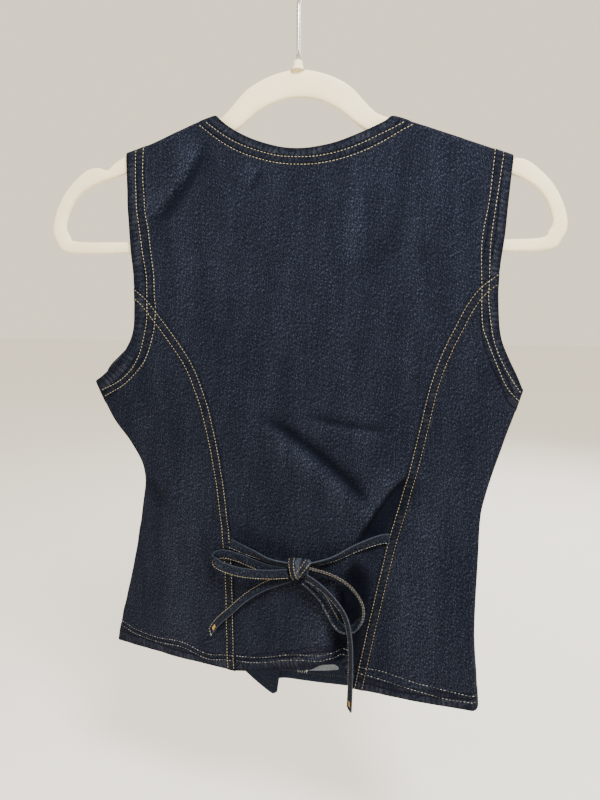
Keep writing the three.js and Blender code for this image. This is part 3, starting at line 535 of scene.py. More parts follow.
velvetLook = {
    "dark": (0.86, 0.73, 0.45),
    "light": (0.97, 0.87, 0.6),
    "patch": (40.0, 0.3, 0.75, 0.6),  # scale, range, tone
    "nap": (900.0, 0.3),  # scale, tone
    "napDepth": 0.0004,
}
look = Look("velvet", velvetLook["dark"], 0.95, Sheen_Weight=0.2, Sheen_Roughness=0.6)
place = look.node("TexCoord", {}, "Object")
nap = look.noise(place, velvetLook["nap"][0], 3.0)
scale, low, high, tone = velvetLook["patch"]
patches = look.noise(place, scale, 3.0).between(low, high) * tone
tone = patches + nap * velvetLook["nap"][1]
look.feed("Base Color", look.mix(tone, velvetLook["dark"], velvetLook["light"]))
look.bump(nap, velvetLook["napDepth"], 0.5)
velvet = look.material
chrome = Look("chrome", (0.56, 0.57, 0.58), 0.16, 1.0).material
brass = Look("brass", (0.085, 0.05, 0.022), 0.34, 1.0).material
print("materials made")


def addObject(name, data):
    made = bpy.data.objects.new(name, data)
    scene.collection.objects.link(made)
    return made


def meshOf(name, bm, materials=()):
    mesh = bpy.data.meshes.new(name)
    bm.to_mesh(mesh)
    bm.free()
    for material in materials:
        mesh.materials.append(material)
    return mesh


def finishPiece(name, bm, materials, nodes=()):
    mesh = meshOf(name, bm, materials)
    mesh.shade_smooth()
    piece = addObject(name, mesh)
    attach(piece, "root")
    if nodes:
        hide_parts(*nodes)
    return piece


def thicken(piece, thickness, offset=0, slotsOn=0):  # the other face takes a later material slot
    modifier = piece.modifiers.new("thickness", "SOLIDIFY")
    modifier.thickness = thickness * mm
    modifier.offset = offset
    modifier.material_offset = slotsOn


weldDistance = 1e-7


def placedGrid(points, maps):  # a grid moved to the given places, and the row and column of its points
    across, down = points.shape[0] - 1, points.shape[1] - 1
    bm = bmesh.new()
    bmesh.ops.create_grid(bm, x_segments=across, y_segments=down, size=0.5)
    uvs = {name: bm.loops.layers.uv.new(name) for name in maps}
    bm.verts.index_update()
    order = [(round((v.co.x + 0.5) * across), round((v.co.y + 0.5) * down)) for v in bm.verts]
    for vert, at in zip(bm.verts, order):
        vert.co = points[at]
    for face in bm.faces:
        for loop in face.loops:
            for name, uv in uvs.items():
                loop[uv].uv = maps[name][order[loop.vert.index]]
    return bm, order


def gridMesh(points, outward, maps, doubled=None):  # faces look outward; doubled cloth takes material slot 2
    bm, order = placedGrid(points, maps)
    if doubled is not None:
        for face in bm.faces:
            if all(doubled[order[vert.index]] for vert in face.verts):
                face.material_index = 2
    bm.normal_update()
    centre = (points.shape[0] // 2, points.shape[1] // 2)
    middle = next(face for face in bm.faces if centre in {order[vert.index] for vert in face.verts})
    if middle.normal.dot(Vector(outward[centre])) < 0:
        bmesh.ops.reverse_faces(bm, faces=bm.faces[:])
    return bm


stitchShape = {
    "length": 2.1,
    "width": 0.55,
    "height": 0.55,
    "pitch": 2.95,
    "lengths": (0.85, 1.1),  # shares of the length that the stitches take
    "tints": 0.25,  # how far their tints stray
    "lift": 0.1,  # of their middles above the cloth
    "least": 4,  # a row over fewer places isn't sewn
    "segments": 6,
    "rings": 4,
}
bm = bmesh.new()
bmesh.ops.create_uvsphere(bm, u_segments=stitchShape["segments"], v_segments=stitchShape["rings"], radius=1)
bead = meshOf("bead", bm)
bead.attributes.new("tint", "FLOAT", "POINT")
beadPlaces = np.array([vert.co for vert in bead.vertices])


# stitches along places, or across them when turned
def threadRow(sewing, points, normals, tone, pitch=None, length=None, turned=False):
    shape = stitchShape
    pitch, length = (pitch or shape["pitch"]) * mm, (length or shape["length"]) * mm
    runs = np.concatenate([[0], np.cumsum(np.linalg.norm(np.diff(points, axis=0), axis=1))])
    count = int(runs[-1] // pitch)
    if count < 1:
        return
    at = (np.arange(count) + 0.5) * runs[-1] / count
    place, ahead, up = (np.column_stack([np.interp(at + more, runs, rows[:, k]) for k in range(3)])
                        for rows, more in ((points, 0), (points, length / 2), (normals, 0)))
    up /= np.linalg.norm(up, axis=1, keepdims=True)
    along = ahead - place
    along -= up * np.sum(along * up, axis=1, keepdims=True)
    along /= np.linalg.norm(along, axis=1, keepdims=True)
    side = np.cross(along, up)
    if turned:
        along, side = side, -along
    for k in range(count):
        axes = np.array([side[k] * shape["width"] / 2 * mm, up[k] * shape["height"] / 2 * mm,
                         along[k] * length / 2 * random.uniform(*shape["lengths"])])
        bead.vertices.foreach_set("co", (beadPlaces @ axes + place[k]).ravel())
        tint = tone + random.uniform(-shape["tints"], shape["tints"])
        bead.attributes["tint"].data.foreach_set("value", [tint] * len(beadPlaces))
        sewing.from_mesh(bead)


def threadPiece(name, bm, material=None):
    bmesh.ops.recalc_face_normals(bm, faces=bm.faces[:])
    return finishPiece(name, bm, [material or thread])


waverShape = {
    "seeds": {"back": 3, "front": 8},
    "waves": 7,
    "sizes": (16, 42),
    "phases": (0, 6),
    "flatness": 160,
    "height": 0.55,
}


def waver(layerName, x, z):  # slight unevenness of hanging cloth
    turns = random.Random(waverShape["seeds"][layerName])
    out = np.zeros(np.broadcast(x, z).shape)
    for _ in range(waverShape["waves"]):
        size, angle = turns.uniform(*waverShape["sizes"]), turns.uniform(0, math.pi)
        phase = turns.uniform(*waverShape["phases"])
        way = x * math.cos(angle) + z * math.sin(angle)
        out += np.sin(way * 2 * math.pi / size + phase) * size / waverShape["flatness"]
    return out * waverShape["height"]


def overShoulder(x, z):  # how far each place has turned over a shoulder seam
    gap = np.clip((readTable(backTop, x) - z) / vestSize["seamRoll"], 0, 1)
    return 1 - np.clip(readTable(backTop, x, 2), 0, 1) * (1 - np.sqrt(1 - (1 - gap) ** 2))


clothEdges = {
    "far": 9.0,  # place of cloth that lies far from every edge
    "doubled": 2.2,  # cloth nearer an edge than this place is turned double
    "stepFrom": 0.8,  # the doubled cloth ends this far past its second row
    "stepOver": 1.8,
    "creaseHeight": 10,  # of a crease whose ridge wears pale and whose trough takes painted shade in full
}


class Panel:  # one cut piece of cloth and the sewing on it
    def __init__(self, name, layerName, bands, limits, grain=0.0, more=None, sign=0, outer=None):
        self.name, self.layerName, self.bands, self.limits = name, layerName, bands, limits
        self.grain, self.more, self.sign, self.outer = math.radians(grain), more, sign, outer
        self.sewing = bmesh.new()

    def lifts(self, x, z, turn):  # lift of the cloth, length along the nearest edge and place across it
        rise, along, place = np.zeros(x.shape), np.zeros(x.shape), np.full(x.shape, clothEdges["far"])
        for line, first, second, height, widens in self.bands:
            gap, run = distanceTo(line, x, z)
            gap = np.maximum(gap - widens * run / np.hypot(*np.diff(line, axis=0).T).sum(), 0)
            step = np.where(gap < first, gap / first, 1 + (gap - first) / (second - first))
            nearer = step < place
            place[nearer], along[nearer] = step[nearer], run[nearer]
            past = (gap - second - clothEdges["stepFrom"]) / clothEdges["stepOver"]
            rise = np.maximum(rise, height * (1 - soften(past)))
        lift = rise + waver(self.layerName, x, z) * np.clip(turn, 0, 1)
        return lift + (self.more(x, z) if self.more else 0), along, place

    def build(self, places, node):
        x, z, turn, away = places
        lift, along, place = self.lifts(x, z, turn)
        points, normals = clothAt(self.layerName, x, z, lift, turn, away)
        cos, sin = math.cos(self.grain), math.sin(self.grain)
        # the crease height feeds pale wear on ridges and painted shade in troughs
        creaseWearAndShade = foldsAt(layers[self.layerName][1], x, z) / clothEdges["creaseHeight"]
        maps = {
            "cloth": np.stack([x * cos + z * sin, z * cos - x * sin], -1) * mm,
            "seams": np.stack([along * mm, place], -1),
            "wear": np.stack([creaseWearAndShade, turn], -1),
        }
        doubled = place < clothEdges["doubled"] if self.layerName == "back" else None
        bm = gridMesh(toMetres(points), normals, maps, doubled)
        # face and reverse of single cloth, the reverse darkened as painted shade, then of doubled cloth
        piece = finishPiece(self.name, bm, [denim, reverseInPaintedShade, denim, denim], [node])
        thicken(piece, vestSize["cloth"], 0, 1)

    def surfaceAt(self, x, z, reach):  # places beside the cloth, over the rolls at its closed edges too
        turn, away = overShoulder(x, z), np.tile([0.0, 0.0, 1.0], (len(x), 1))
        if self.outer:
            gap = np.clip((self.outer(z) - x) * self.sign / vestSize["seamRoll"], 0, 1)
            closed = z <= vestSize["underarmZ"]
            turn = np.where(closed, np.sqrt(1 - (1 - gap) ** 2), turn)
            away = np.where(closed[:, None], [self.sign, 0.0, 0.0], away)
        points, normals = clothAt(self.layerName, x, z, self.lifts(x, z, turn)[0], turn, away)
        return toMetres(points + normals * reach), normals

    # stitches where the line lies on this panel
    def sew(self, line, tone, side=1, into=None, lift=stitchShape["lift"], **stitching):
        x, z = line.T
        kept = self.limits(x, z)
        edges = np.flatnonzero(np.diff(np.concatenate([[0], kept.astype(int), [0]])))
        reach = (vestSize["cloth"] / 2 + lift) * side
        for start, end in zip(edges[::2], edges[1::2]):
            if end - start < stitchShape["least"]:
                continue
            points, normals = self.surfaceAt(x[start:end], z[start:end], reach)
            sewing = self.sewing if into is None else into
            threadRow(sewing, points, normals * side, tone, **stitching)

    def sewRows(self, tones, sides):  # the two rows beside each edge
        for (line, first, second, height, widens), side, tone in zip(self.bands, sides, tones):
            shift = np.linspace(0, widens, len(line))
            for distance, more in ((first, 0), (second, backSewing["tones"]["second"][side])):
                self.sew(offsetLine(line, side * (distance + shift)), tone + more)


def openColumns(count):  # share of the width and degrees of roll of each column
    return [(k / count, 90) for k in range(count + 1)]


def rolledColumns(count):
    return openColumns(count) + [(1, degrees) for degrees in reversed(rollDegrees)]


# lines of the back's edges and seams
neckLine = smoothLine([(x, z) for x, z, seam in backTop if seam < 0.5])
armholeLines = {side: smoothLine([(x, z) for z, x in armholes[side]]) for side in ("left", "right")}
hemLine = smoothLine(backHem, 240)
signs = {"left": 1, "right": -1}

# an edge's first row, second row, thickness of the turned cloth and widening along it
backSewing = {
    "neck": (7.2, 13.2, 0.5, 0),
    "armhole": {"left": (9, 16, 0.5, 3.5), "right": (7.5, 14.5, 0.5, 1)},
    "princess": (1.5, 7.8, 1.05, 0),
    "hem": (11, 16, 0.4, 0),
    "hemLift": 0.3,
    "centreGrid": (170, (50, 44, 3, 130)),  # columns, then rows between each two levels
    "sideGrid": (56, (40, 3, 120)),
    "tones": {"edge": 0.65, "princess": 0.4, "hem": 0.25, "backHem": 0.28, "second": {1: 0, -1: -0.2}},
    "inset": {"side": 0.3, "hem": 1, "top": 0.2},  # no stitch lies nearer a panel's end than this
    "rowPlaces": 300,
}
# x, z of each stitched row along the back's edges
neckRows = [
    [(80, -138.5), (64, -150), (50, -157.5), (36, -162.7), (18, -167.5), (0, -169), (-16, -168.5), (-33, -165.5),
     (-49, -160.5), (-64, -154), (-79, -147), (-86, -143.5)],
    [(86, -140.5), (68, -154), (53, -162.5), (38, -168.3), (19, -173.2), (-1, -175), (-18, -174.3), (-36, -171),
     (-52, -166), (-68, -159), (-84, -150), (-93, -145.5)],
]
armholeRows = [
    [(143, -158), (144, -198), (140, -239), (136, -264), (135, -285), (135, -300), (139, -323), (145.5, -341),
     (156, -354), (167, -362), (182, -369)],
    [(136, -156), (137, -187), (132, -239), (129, -264), (128, -285), (127, -300), (131, -323), (138, -341),
     (147, -352), (159, -363), (180, -375)],
    [(-166, -168), (-162, -207), (-159, -237), (-159, -266), (-159, -284), (-161, -301), (-165, -320),
     (-173, -339), (-182, -353), (-189, -362.5)],
    [(-159, -166), (-156, -207), (-152, -237), (-153, -274), (-155, -307), (-160, -321), (-170, -344),
     (-178, -359), (-188, -370)],
]
hemRows = [
    [(194, -614), (186, -616), (171, -620), (144, -622), (115, -620), (86, -626), (61, -622), (30, -618),
     (3, -610), (-27, -604), (-39, -601), (-53, -600)],
    [(194, -618.5), (186, -620.5), (171, -624.5), (144, -626.5), (115, -625), (86, -631), (61, -627), (30, -623),
     (3, -615), (-27, -609), (-39, -606), (-53, -605)],
    [(-62, -609), (-84, -609), (-116, -614), (-137, -617), (-157, -619), (-164, -619)],
    [(-62, -614), (-71, -615), (-95, -618), (-116, -621), (-141, -625), (-158, -625), (-164, -625)],
]
princessTurnZ, underarmRise, sideHemZ = -350, 5, -640
princessHem = {"left": 55, "right": -57}


def underEdge(side, seam):  # a middle panel's edge: the armhole, then just under the side panel
    def at(z):
        seamX = readTable(seam, z) + signs[side] * vestSize["overlap"]
        return np.where(np.asarray(z) > seam[0][0], edgeX(side, z), seamX)
    return at


def seenEdge(side, seam, edge):  # the same edge, but where it comes out from under the side panel
    return lambda z: edge(z) - signs[side] * vestSize["overlap"] * (z < seam[0][0])


def sideEdge(side, seam):  # a side panel's princess edge
    def at(z):
        armholeX = edgeX(side, z) - signs[side] * vestSize["overlap"]
        return np.where(np.asarray(z) > seam[0][0] - 0.01, armholeX, readTable(seam, z))
    return at


def within(leftX, rightX, hem):  # whether places lie on a panel
    inset = backSewing["inset"]

    def test(x, z):
        low, high = rightX(z) + inset["side"], leftX(z) - inset["side"]
        return (x > low) & (x < high) & (z > readTable(hem, x) + inset["hem"]) \
            & (z < readTable(backTop, x) - inset["top"])
    return test


hemSewing = bmesh.new()


def sewMeasured(panel):
    tones, places = backSewing["tones"], backSewing["rowPlaces"]
    for row in neckRows + armholeRows:
        panel.sew(smoothLine(row, places), tones["edge"])
    for row in hemRows:
        panel.sew(smoothLine(row, places), tones["backHem"], into=hemSewing, lift=backSewing["hemLift"])


def buildBackCentre():
    columns, counts = backSewing["centreGrid"]
    xAt = level(backTop[0][0], backTop[-1][0])
    hemX = level(princessHem["left"], princessHem["right"])
    levels = [
        lambda s: readTable(backTop, xAt(s)) - vestSize["seamRoll"],
        level(princessSeams["left"][0][0], princessSeams["right"][0][0]),
        level(princessTurnZ + underarmRise, princessTurnZ + underarmRise),
        level(princessTurnZ, princessTurnZ),
        lambda s: readTable(backHem, hemX(s)),
    ]
    edges = {side: underEdge(side, princessSeams[side]) for side in signs}
    seen = {side: seenEdge(side, princessSeams[side], edges[side]) for side in signs}
    rows = rowsBetween(levels, counts, True)
    places = panelPlaces(openColumns(columns), rows, edges["left"], edges["right"],
                         seamAt=lambda s: np.clip(readTable(backTop, xAt(s), 2), 0, 1))
    bands = [(neckLine, *backSewing["neck"]),
             *((armholeLines[side], *backSewing["armhole"][side]) for side in signs),
             (hemLine, *backSewing["hem"])]
    panel = Panel("backCentre", "back", bands, within(seen["left"], seen["right"], backHem))
    panel.build(places, "back_centre")
    sewMeasured(panel)
    threadPiece("backCentreStitches", panel.sewing)


overlock = bmesh.new()
overlockShape = {
    "above": 9,  # the front's hem
    "pitch": 2.0,
    "length": 3.0,
    "tone": 0.8,
    # tint standing for shadow on the stitches outside the lit span: painted shadow
    "shade": -0.2,
    "lit": (8, -4),  # from this x to that one the stitches are pale; outside it they are painted dark as painted shadow
}


def sewInside(panel, line, side):  # overlock stitches along the edge of the turned-up hem
    shape = overlockShape
    row = offsetLine(line, side * shape["above"])
    start, end = shape["lit"]
    before, after = row[:, 0] > start, row[:, 0] < end
    # stitches outside the lit span take the shade tone, painted shadow
    for kept, tone in ((before, shape["shade"]), (after, shape["shade"]), (~before & ~after, shape["tone"])):
        part = row[kept]
        if len(part) >= stitchShape["least"]:
            panel.sew(part, tone, -1, overlock, pitch=shape["pitch"], length=shape["length"], turned=True)


def buildSide(side, layerName, facts):
    sign, seam, hem = signs[side], facts["seams"][side], facts["hems"][side]
    sewing, outer = facts["sewing"], lambda z: facts["edge"](side, z)
    columns, counts = sewing["sideGrid"]
    levels = [
        level(seam[0][0], seam[0][0]),
        level(princessTurnZ + underarmRise, vestSize["underarmZ"] + underarmRise),
        level(princessTurnZ, vestSize["underarmZ"]),
        level(readTable(hem, facts["hemX"][side]), readTable(backHem, np.array(edgeX(side, sideHemZ)))),
    ]
    inner = sideEdge(side, seam)
    rows = rowsBetween(levels, counts, False)
    places = panelPlaces(rolledColumns(columns), rows, inner, outer, sideSign=sign)
    line = smoothLine([(x, z) for z, x in seam])
    bands = [(line, *sewing["princess"]), (facts["armholes"][side], *sewing["armhole"][side]),
             (facts["hemLines"][side], *sewing["hem"])]
    limits = within(outer if sign > 0 else inner, inner if sign > 0 else outer, hem)
    name = layerName + "Side" + side.capitalize()
    panel = Panel(name, layerName, bands, limits, facts["grain"] * sign, None, sign, outer)
    panel.build(places, layerName + "_side_" + side)
    tones = backSewing["tones"]
    if layerName == "back":
        sewMeasured(panel)
        panel.sewRows((tones["princess"],), (sign,))
    else:
        panel.sewRows((tones["princess"], tones["edge"], tones["hem"]), (sign, -sign, -sign))
        sewInside(panel, facts["hemLines"][side], -sign)
    threadPiece(name + "Stitches", panel.sewing)


backFacts = {
    "seams": princessSeams,
    "hems": {"left": backHem, "right": backHem},
    "hemX": princessHem,
    "edge": edgeX,
    "armholes": armholeLines,
    "hemLines": {"left": hemLine, "right": hemLine},
    "sewing": backSewing,
    "flat": (0.15, 0.37),
    "areas": {"left": 0.036, "right": 0.0283},
    "grain": 4,
}
buildBackCentre()
print("back centre made")
for side in signs:
    buildSide(side, "back", backFacts)
threadPiece("backHemStitches", hemSewing, paleThread)
print("back sides made")

lap = {"width": 25, "rise": 1.9, "topZ": -262, "fadeAcross": 30, "fadeDown": 20}
frontSewing = {
    "edge": (5, 11.5, 0.5, 0),
    "armhole": {"left": (8, 15, 0.5, 0), "right": (8, 15, 0.5, 0)},
    "princess": backSewing["princess"],
    "hem": (6, 11, 0.4, 0),
    "middleGrid": (70, (44, 34, 3, 120)),
    "sideGrid": (48, (36, 3, 120)),
}
# z, x of the front's princess seams
frontPrincess = {
    "left": [(-277, 146), (-288, 132), (-305, 118), (-328, 105), (-355, 95), (-390, 87), (-440, 80),
             (-490, 79), (-560, 83), (-660, 90)],
    "right": [(-264, -165.5), (-276, -151), (-292, -138), (-315, -124), (-345, -112), (-385, -101),
              (-440, -89), (-490, -84), (-560, -82), (-660, -86)],
}
frontPrincessHem = {"left": 89.5, "right": -85.5}
frontHemLines = {side: smoothLine(rows, 240) for side, rows in frontHems.items()}


def frontEdgeX(side, z):
    shows = readTable(frontShows, z, 1 if side == "left" else 2)
    return edgeX(side, z) + signs[side] * np.where(np.asarray(z) > vestSize["underarmZ"], shows, 0)


def frontArmhole(side):
    z = np.linspace(armholes[side][0][0], vestSize["underarmZ"], 160)
    return np.column_stack([frontEdgeX(side, z), z])


def lapLift(x, z):  # how far the lapping front lies over the other one
    inside = readTable(frontEdges["right"], z) - x
    across = 1 - soften((inside - lap["width"]) / lap["fadeAcross"])
    return lap["rise"] * across * soften((lap["topZ"] - z) / lap["fadeDown"])


reversePatch = {  # the bare reverse of the cloth that shows inside the lapping front
    "from": -5,
    "to": -36,
    "above": 11,  # the front's hem
    "rise": 5,
    "wide": 5.6,
    "least": 0.5,
    "gap": 0.15,
    "grid": (24, 4),
    "fray": 7,
    "frayStitch": (0.8, 2.4, 2.6),  # tone, pitch, length
}


def buildReversePatch(panel):
    shape = reversePatch
    s, t = np.meshgrid(*(np.linspace(0, 1, count + 1) for count in shape["grid"]), indexing="ij")
    x = shape["from"] + (shape["to"] - shape["from"]) * s
    wide = shape["wide"] * soften(s * 2) * soften((1.15 - s) * 3) + shape["least"]
    z = readTable(frontHems["right"], x) + shape["above"] + shape["rise"] * s + wide * t
    points, normals = panel.surfaceAt(x.ravel(), z.ravel(), -vestSize["cloth"] / 2 - shape["gap"])
    points, normals = points.reshape(*x.shape, 3), -normals.reshape(*x.shape, 3)
    bm = gridMesh(points, normals, {"cloth": np.stack([x, z], -1) * mm})
    fray = bmesh.new()
    for k in range(shape["fray"]):
        way = np.linspace(0, 1, 5)[:, None]
        row = points[0, k % 5] + way * (points[0, 0] - points[3, 0]) * random.uniform(0.5, 1.2)
        row = row + [0, 0, random.uniform(-1, 1) * mm]
        threadRow(fray, row, np.tile(normals[0, 0], (5, 1)), *shape["frayStitch"])
    finishPiece("reversePatch", bm, [paleReverse])
    threadPiece("reversePatchFray", fray, paleThread)


frontFacts = {
    "seams": frontPrincess,
    "hems": frontHems,
    "hemX": frontPrincessHem,
    "edge": frontEdgeX,
    "armholes": {side: frontArmhole(side) for side in signs},
    "hemLines": frontHemLines,
    "sewing": frontSewing,
    "flat": (0.13, 0.37),
    "areas": {"left": 0.0314, "right": 0.0287},
    "grain": 3,
    "middleFlat": (0.17, 0.55),
    "middleAreas": {"left": 0.0505, "right": 0.063},
    "middleGrain": 2,
    "shoulders": {"left": (74, 152), "right": (-78, -174)},  # x of the shoulder seam's ends
}


def buildFrontMiddle(side):
    facts, sign, hem, inner = frontFacts, signs[side], frontHems[side], frontEdges[side]
    seam = frontPrincess[side]
    shoulderX = level(*facts["shoulders"][side])
    hemX = level(hem[-1][0], frontPrincessHem[side])
    columns, counts = frontSewing["middleGrid"]
    levels = [
        lambda s: readTable(backTop, shoulderX(s)) - vestSize["seamRoll"],
        level(seam[0][0], seam[0][0]),
        level(princessTurnZ + underarmRise, princessTurnZ + underarmRise),
        level(princessTurnZ, princessTurnZ),
        lambda s: readTable(hem, hemX(s)),
    ]
    innerX, outerX = lambda z: readTable(inner, z), underEdge(side, seam)
    places = panelPlaces(openColumns(columns), rowsBetween(levels, counts, True), innerX, outerX)
    bands = [(smoothLine([(x, z) for z, x in inner], 200), *frontSewing["edge"]),
             (facts["armholes"][side], *frontSewing["armhole"][side]),
             (frontHemLines[side], *frontSewing["hem"])]
    seen = seenEdge(side, seam, outerX)
    limits = within(seen if sign > 0 else innerX, innerX if sign > 0 else seen, hem)
    more = lapLift if side == "right" else None
    panel = Panel("front" + side.capitalize(), "front", bands, limits, facts["middleGrain"] * sign, more)
    panel.build(places, "front_" + side)
    tones = backSewing["tones"]
    panel.sewRows((tones["edge"], tones["edge"], tones["hem"]), (sign, -sign, -sign))
    sewInside(panel, frontHemLines[side], -sign)
    return panel


frontPanels = {}
for side in signs:
    frontPanels[side] = buildFrontMiddle(side)
    buildSide(side, "front", frontFacts)
buildReversePatch(frontPanels["right"])
print("fronts made")


def tubeMesh(rings, looped):  # a closed skin through rings of points, flat ends unless looped
    points = np.array([list(ring) + [ring[0]] for ring in rings])
    if looped:
        points = np.concatenate([points, points[:1]])
    steps = np.linalg.norm(np.diff(points.mean(axis=1), axis=0), axis=1)
    runs = np.concatenate([[0], np.cumsum(steps)])
    girth = float(np.linalg.norm(np.diff(points[0], axis=0), axis=1).sum())
    rounds = np.linspace(0, girth, points.shape[1])
    along, across = np.meshgrid(runs, rounds, indexing="ij")
    bm, order = placedGrid(points, {"cloth": np.stack([across, along], -1)})
    bmesh.ops.remove_doubles(bm, verts=bm.verts[:], dist=weldDistance)
    if not looped:
        bmesh.ops.holes_fill(bm, edges=[e for e in bm.edges if e.is_boundary], sides=0)
    bmesh.ops.recalc_face_normals(bm, faces=bm.faces[:])
    return bm


hangerShape = {"thick": 5.5, "rounding": 0.62, "around": 20, "stations": 6}
# outer x, outer z, inner x, inner z down one arm, from the top of the arch to the bar
hangerArm = [
    (0, -97, 0, -119.5), (20, -100.5, 16, -121.5), (34, -106, 29, -127), (44.5, -112.5, 38, -132.5),
    (53, -121, 46, -139), (60.5, -129, 54, -145), (68, -134.6, 64, -150.5), (80.5, -139, 77, -155.5),
    (97.5, -144.6, 95, -161.5), (118.5, -151.7, 116, -168), (134.5, -157.2, 133, -172.5),
    (152.5, -163.2, 152, -177.5), (162, -168.5, 162, -180.3), (169, -174, 169, -182.5),
    (179, -171.7, 177, -185), (190, -174.8, 186, -188.8), (206, -188.5, 198, -197), (217, -205, 206.5, -209),
    (222.5, -223, 210.5, -222), (219.5, -235, 208, -229.5), (207, -245.2, 200, -235.2), (150, -246, 150, -236),
    (75, -246, 75, -236),
]


def curvePoint(a, b, c, d, t):  # a smooth curve from b to c
    return 0.5 * (2 * b + (c - a) * t + (2 * a - 5 * b + 4 * c - d) * t**2
                  + (3 * b - a - 3 * c + d) * t**3)


def ringTurns(around):
    return np.arange(around) * 2 * math.pi / around


def squared(value, power):  # a sine or cosine that stays longer near its ends
    return math.copysign(abs(value) ** power, value)


def hangerRings():
    shape = hangerShape
    arm = np.array(hangerArm, float)
    other = arm[1:][::-1] * [-1, 1, -1, 1]
    loop = np.concatenate([arm, other])
    rings = []
    for k in range(len(loop)):
        near = [loop[(k + step) % len(loop)] for step in (-1, 0, 1, 2)]
        for t in np.arange(shape["stations"]) / shape["stations"]:
            row = curvePoint(*near, t)
            outer, inner = np.array([row[0], 0, row[1]]), np.array([row[2], 0, row[3]])
            middle, reach = (outer + inner) / 2, (outer - inner) / 2
            ring = [middle + reach * squared(math.cos(turn), shape["rounding"])
                    + np.array([0, squared(math.sin(turn), shape["rounding"]) * shape["thick"] / 2, 0])
                    for turn in ringTurns(shape["around"])]
            rings.append(np.array(ring) * mm)
    return rings


finishPiece("hangerBody", tubeMesh(hangerRings(), True), [velvet], ["hanger"])

nubShape = {"radius": 3.8, "height": 7, "flare": 1.4, "z": -97, "steps": 28}


def spunMesh(profile, steps, place, axis=(0, 0, 1)):  # radius, height rows turned round an axis
    bm = bmesh.new()
    verts = [bm.verts.new((r * mm, 0, h * mm)) for r, h in profile]
    edges = [bm.edges.new(pair) for pair in zip(verts, verts[1:])]
    bmesh.ops.spin(bm, geom=verts + edges, cent=(0, 0, 0), axis=(0, 0, 1), angle=2 * math.pi,
                   steps=steps, use_merge=True)
    bmesh.ops.remove_doubles(bm, verts=bm.verts[:], dist=weldDistance)
    bmesh.ops.recalc_face_normals(bm, faces=bm.faces[:])
    turn = Vector((0, 0, 1)).rotation_difference(Vector(axis)).to_matrix().to_4x4()
    bmesh.ops.transform(bm, matrix=Matrix.Translation(place) @ turn, verts=bm.verts[:])
    return bm


r, h, flare = nubShape["radius"], nubShape["height"], nubShape["flare"]
nubProfile = [(0, -1.2), (r + flare + 1.2, -1.2), (r + flare, 0.2), (r + 0.5, 1.6), (r + 0.1, 3),
              (r, h - 1.6), (r - 0.5, h - 0.5), (r - 1.4, h), (0, h)]
nub = spunMesh(nubProfile, nubShape["steps"], (0, 0, nubShape["z"] * mm))
finishPiece("hangerNub", nub, [velvet], ["hanger_nub"])

hookShape = {
    "wire": 1.6,
    "radius": 19,
    "neckRadius": 16.5,
    "footZ": -91,
    "tipDegrees": -15,
    "around": 14,
    "steps": (6, 12, 60),  # down the shank, round the neck, round the hook
}


def wireRings(path, radius, around):
    path, side = np.array(path, float), Vector((0, 1, 0))
    rings = []
    for k in range(len(path)):
        along = Vector(path[min(k + 1, len(path) - 1)] - path[max(k - 1, 0)]).normalized()
        third = along.cross(side).normalized()
        rings.append([np.array(Vector(path[k]) + radius * (math.cos(t) * side + math.sin(t) * third)) * mm
                      for t in ringTurns(around)])
    return rings


def hookPath():
    neck, radius, wire = hookShape["neckRadius"], hookShape["radius"], hookShape["wire"]
    shankSteps, neckSteps, hookSteps = hookShape["steps"]
    centreZ = wire - radius
    topZ = centreZ - math.sqrt((radius + neck) ** 2 - neck**2)
    bend = math.acos(neck / (radius + neck))
    path = [(0, 0, z) for z in np.linspace(hookShape["footZ"], topZ, shankSteps)]
    path += [(neck * (math.cos(t) - 1), 0, topZ + neck * math.sin(t))
             for t in np.linspace(0, bend, neckSteps)[1:]]
    turns = np.linspace(math.pi + bend, math.radians(hookShape["tipDegrees"]), hookSteps)[1:]
    return path + [(radius * math.cos(t), 0, centreZ + radius * math.sin(t)) for t in turns]


hook = tubeMesh(wireRings(hookPath(), hookShape["wire"], hookShape["around"]), False)
finishPiece("hookWire", hook, [chrome], ["hook"])
print("hanger made")

tieShape = {
    "width": 9,
    "thick": 2,
    "around": 18,
    "powers": (0.5, 0.6),  # how square its section is across and through
    "pinch": (0.25, 0.72, 0.1),  # depth, place and width of the furrow beside each edge
}
# x, z, lift off the back, degrees of roll along each stretch of the tie
strapLeft = [(61.5, -510.5, 2.4, 0), (50, -514, 3, 8), (36, -517.5, 4, 25), (20, -521, 6, 45),
             (1.2, -521.5, 8, 50)]
strapRight = [(-86, -490.5, 2.4, 0), (-77, -492, 3.2, -12), (-58, -500.5, 4.5, -30), (-38, -512, 6, -48),
              (-17.2, -519.5, 8, -52)]
loopLeft = [(1.2, -528.5, 12.5, 0), (20, -532, 12.5, 0), (44, -533.5, 13, 4), (62, -531.5, 12.5, 6),
            (71, -529, 11, 8), (75, -526, 8.5, 8), (73.5, -523, 6, 8), (66, -521.5, 4, 6), (52, -523.5, 3.4, 4),
            (36, -527.5, 4, 0), (20, -530, 6, 0), (1.4, -529.5, 7.5, 0)]
loopRight = [(-17.2, -523, 9, 52), (-38, -527.5, 8, 52), (-54, -536, 7, 55), (-64.5, -549, 6.5, 60),
             (-65.5, -562, 6.5, 60), (-58, -573, 6.5, 60), (-47, -573, 6.5, 60), (-38, -562, 6.5, 60),
             (-30, -549, 7, 60), (-20, -539.5, 8, 58), (-12.8, -534.4, 8.5, 55)]
tailLeft = [(1, -534.5, 5, 30), (12, -540, 4.4, 38), (26, -547.5, 4.2, 44), (43, -560, 4.2, 46),
            (60, -577, 4.2, 44), (72, -589, 4, 42), (80, -600, 4, 40)]
tailRight = [(-16, -528.5, 14.5, 30), (-28, -534, 15.8, 38), (-42, -545, 16, 45), (-53, -559, 15.6, 50),
             (-58, -578, 14, 55), (-59, -602, 10, 55), (-58.5, -625, 7, 55), (-58, -647, 6, 55)]


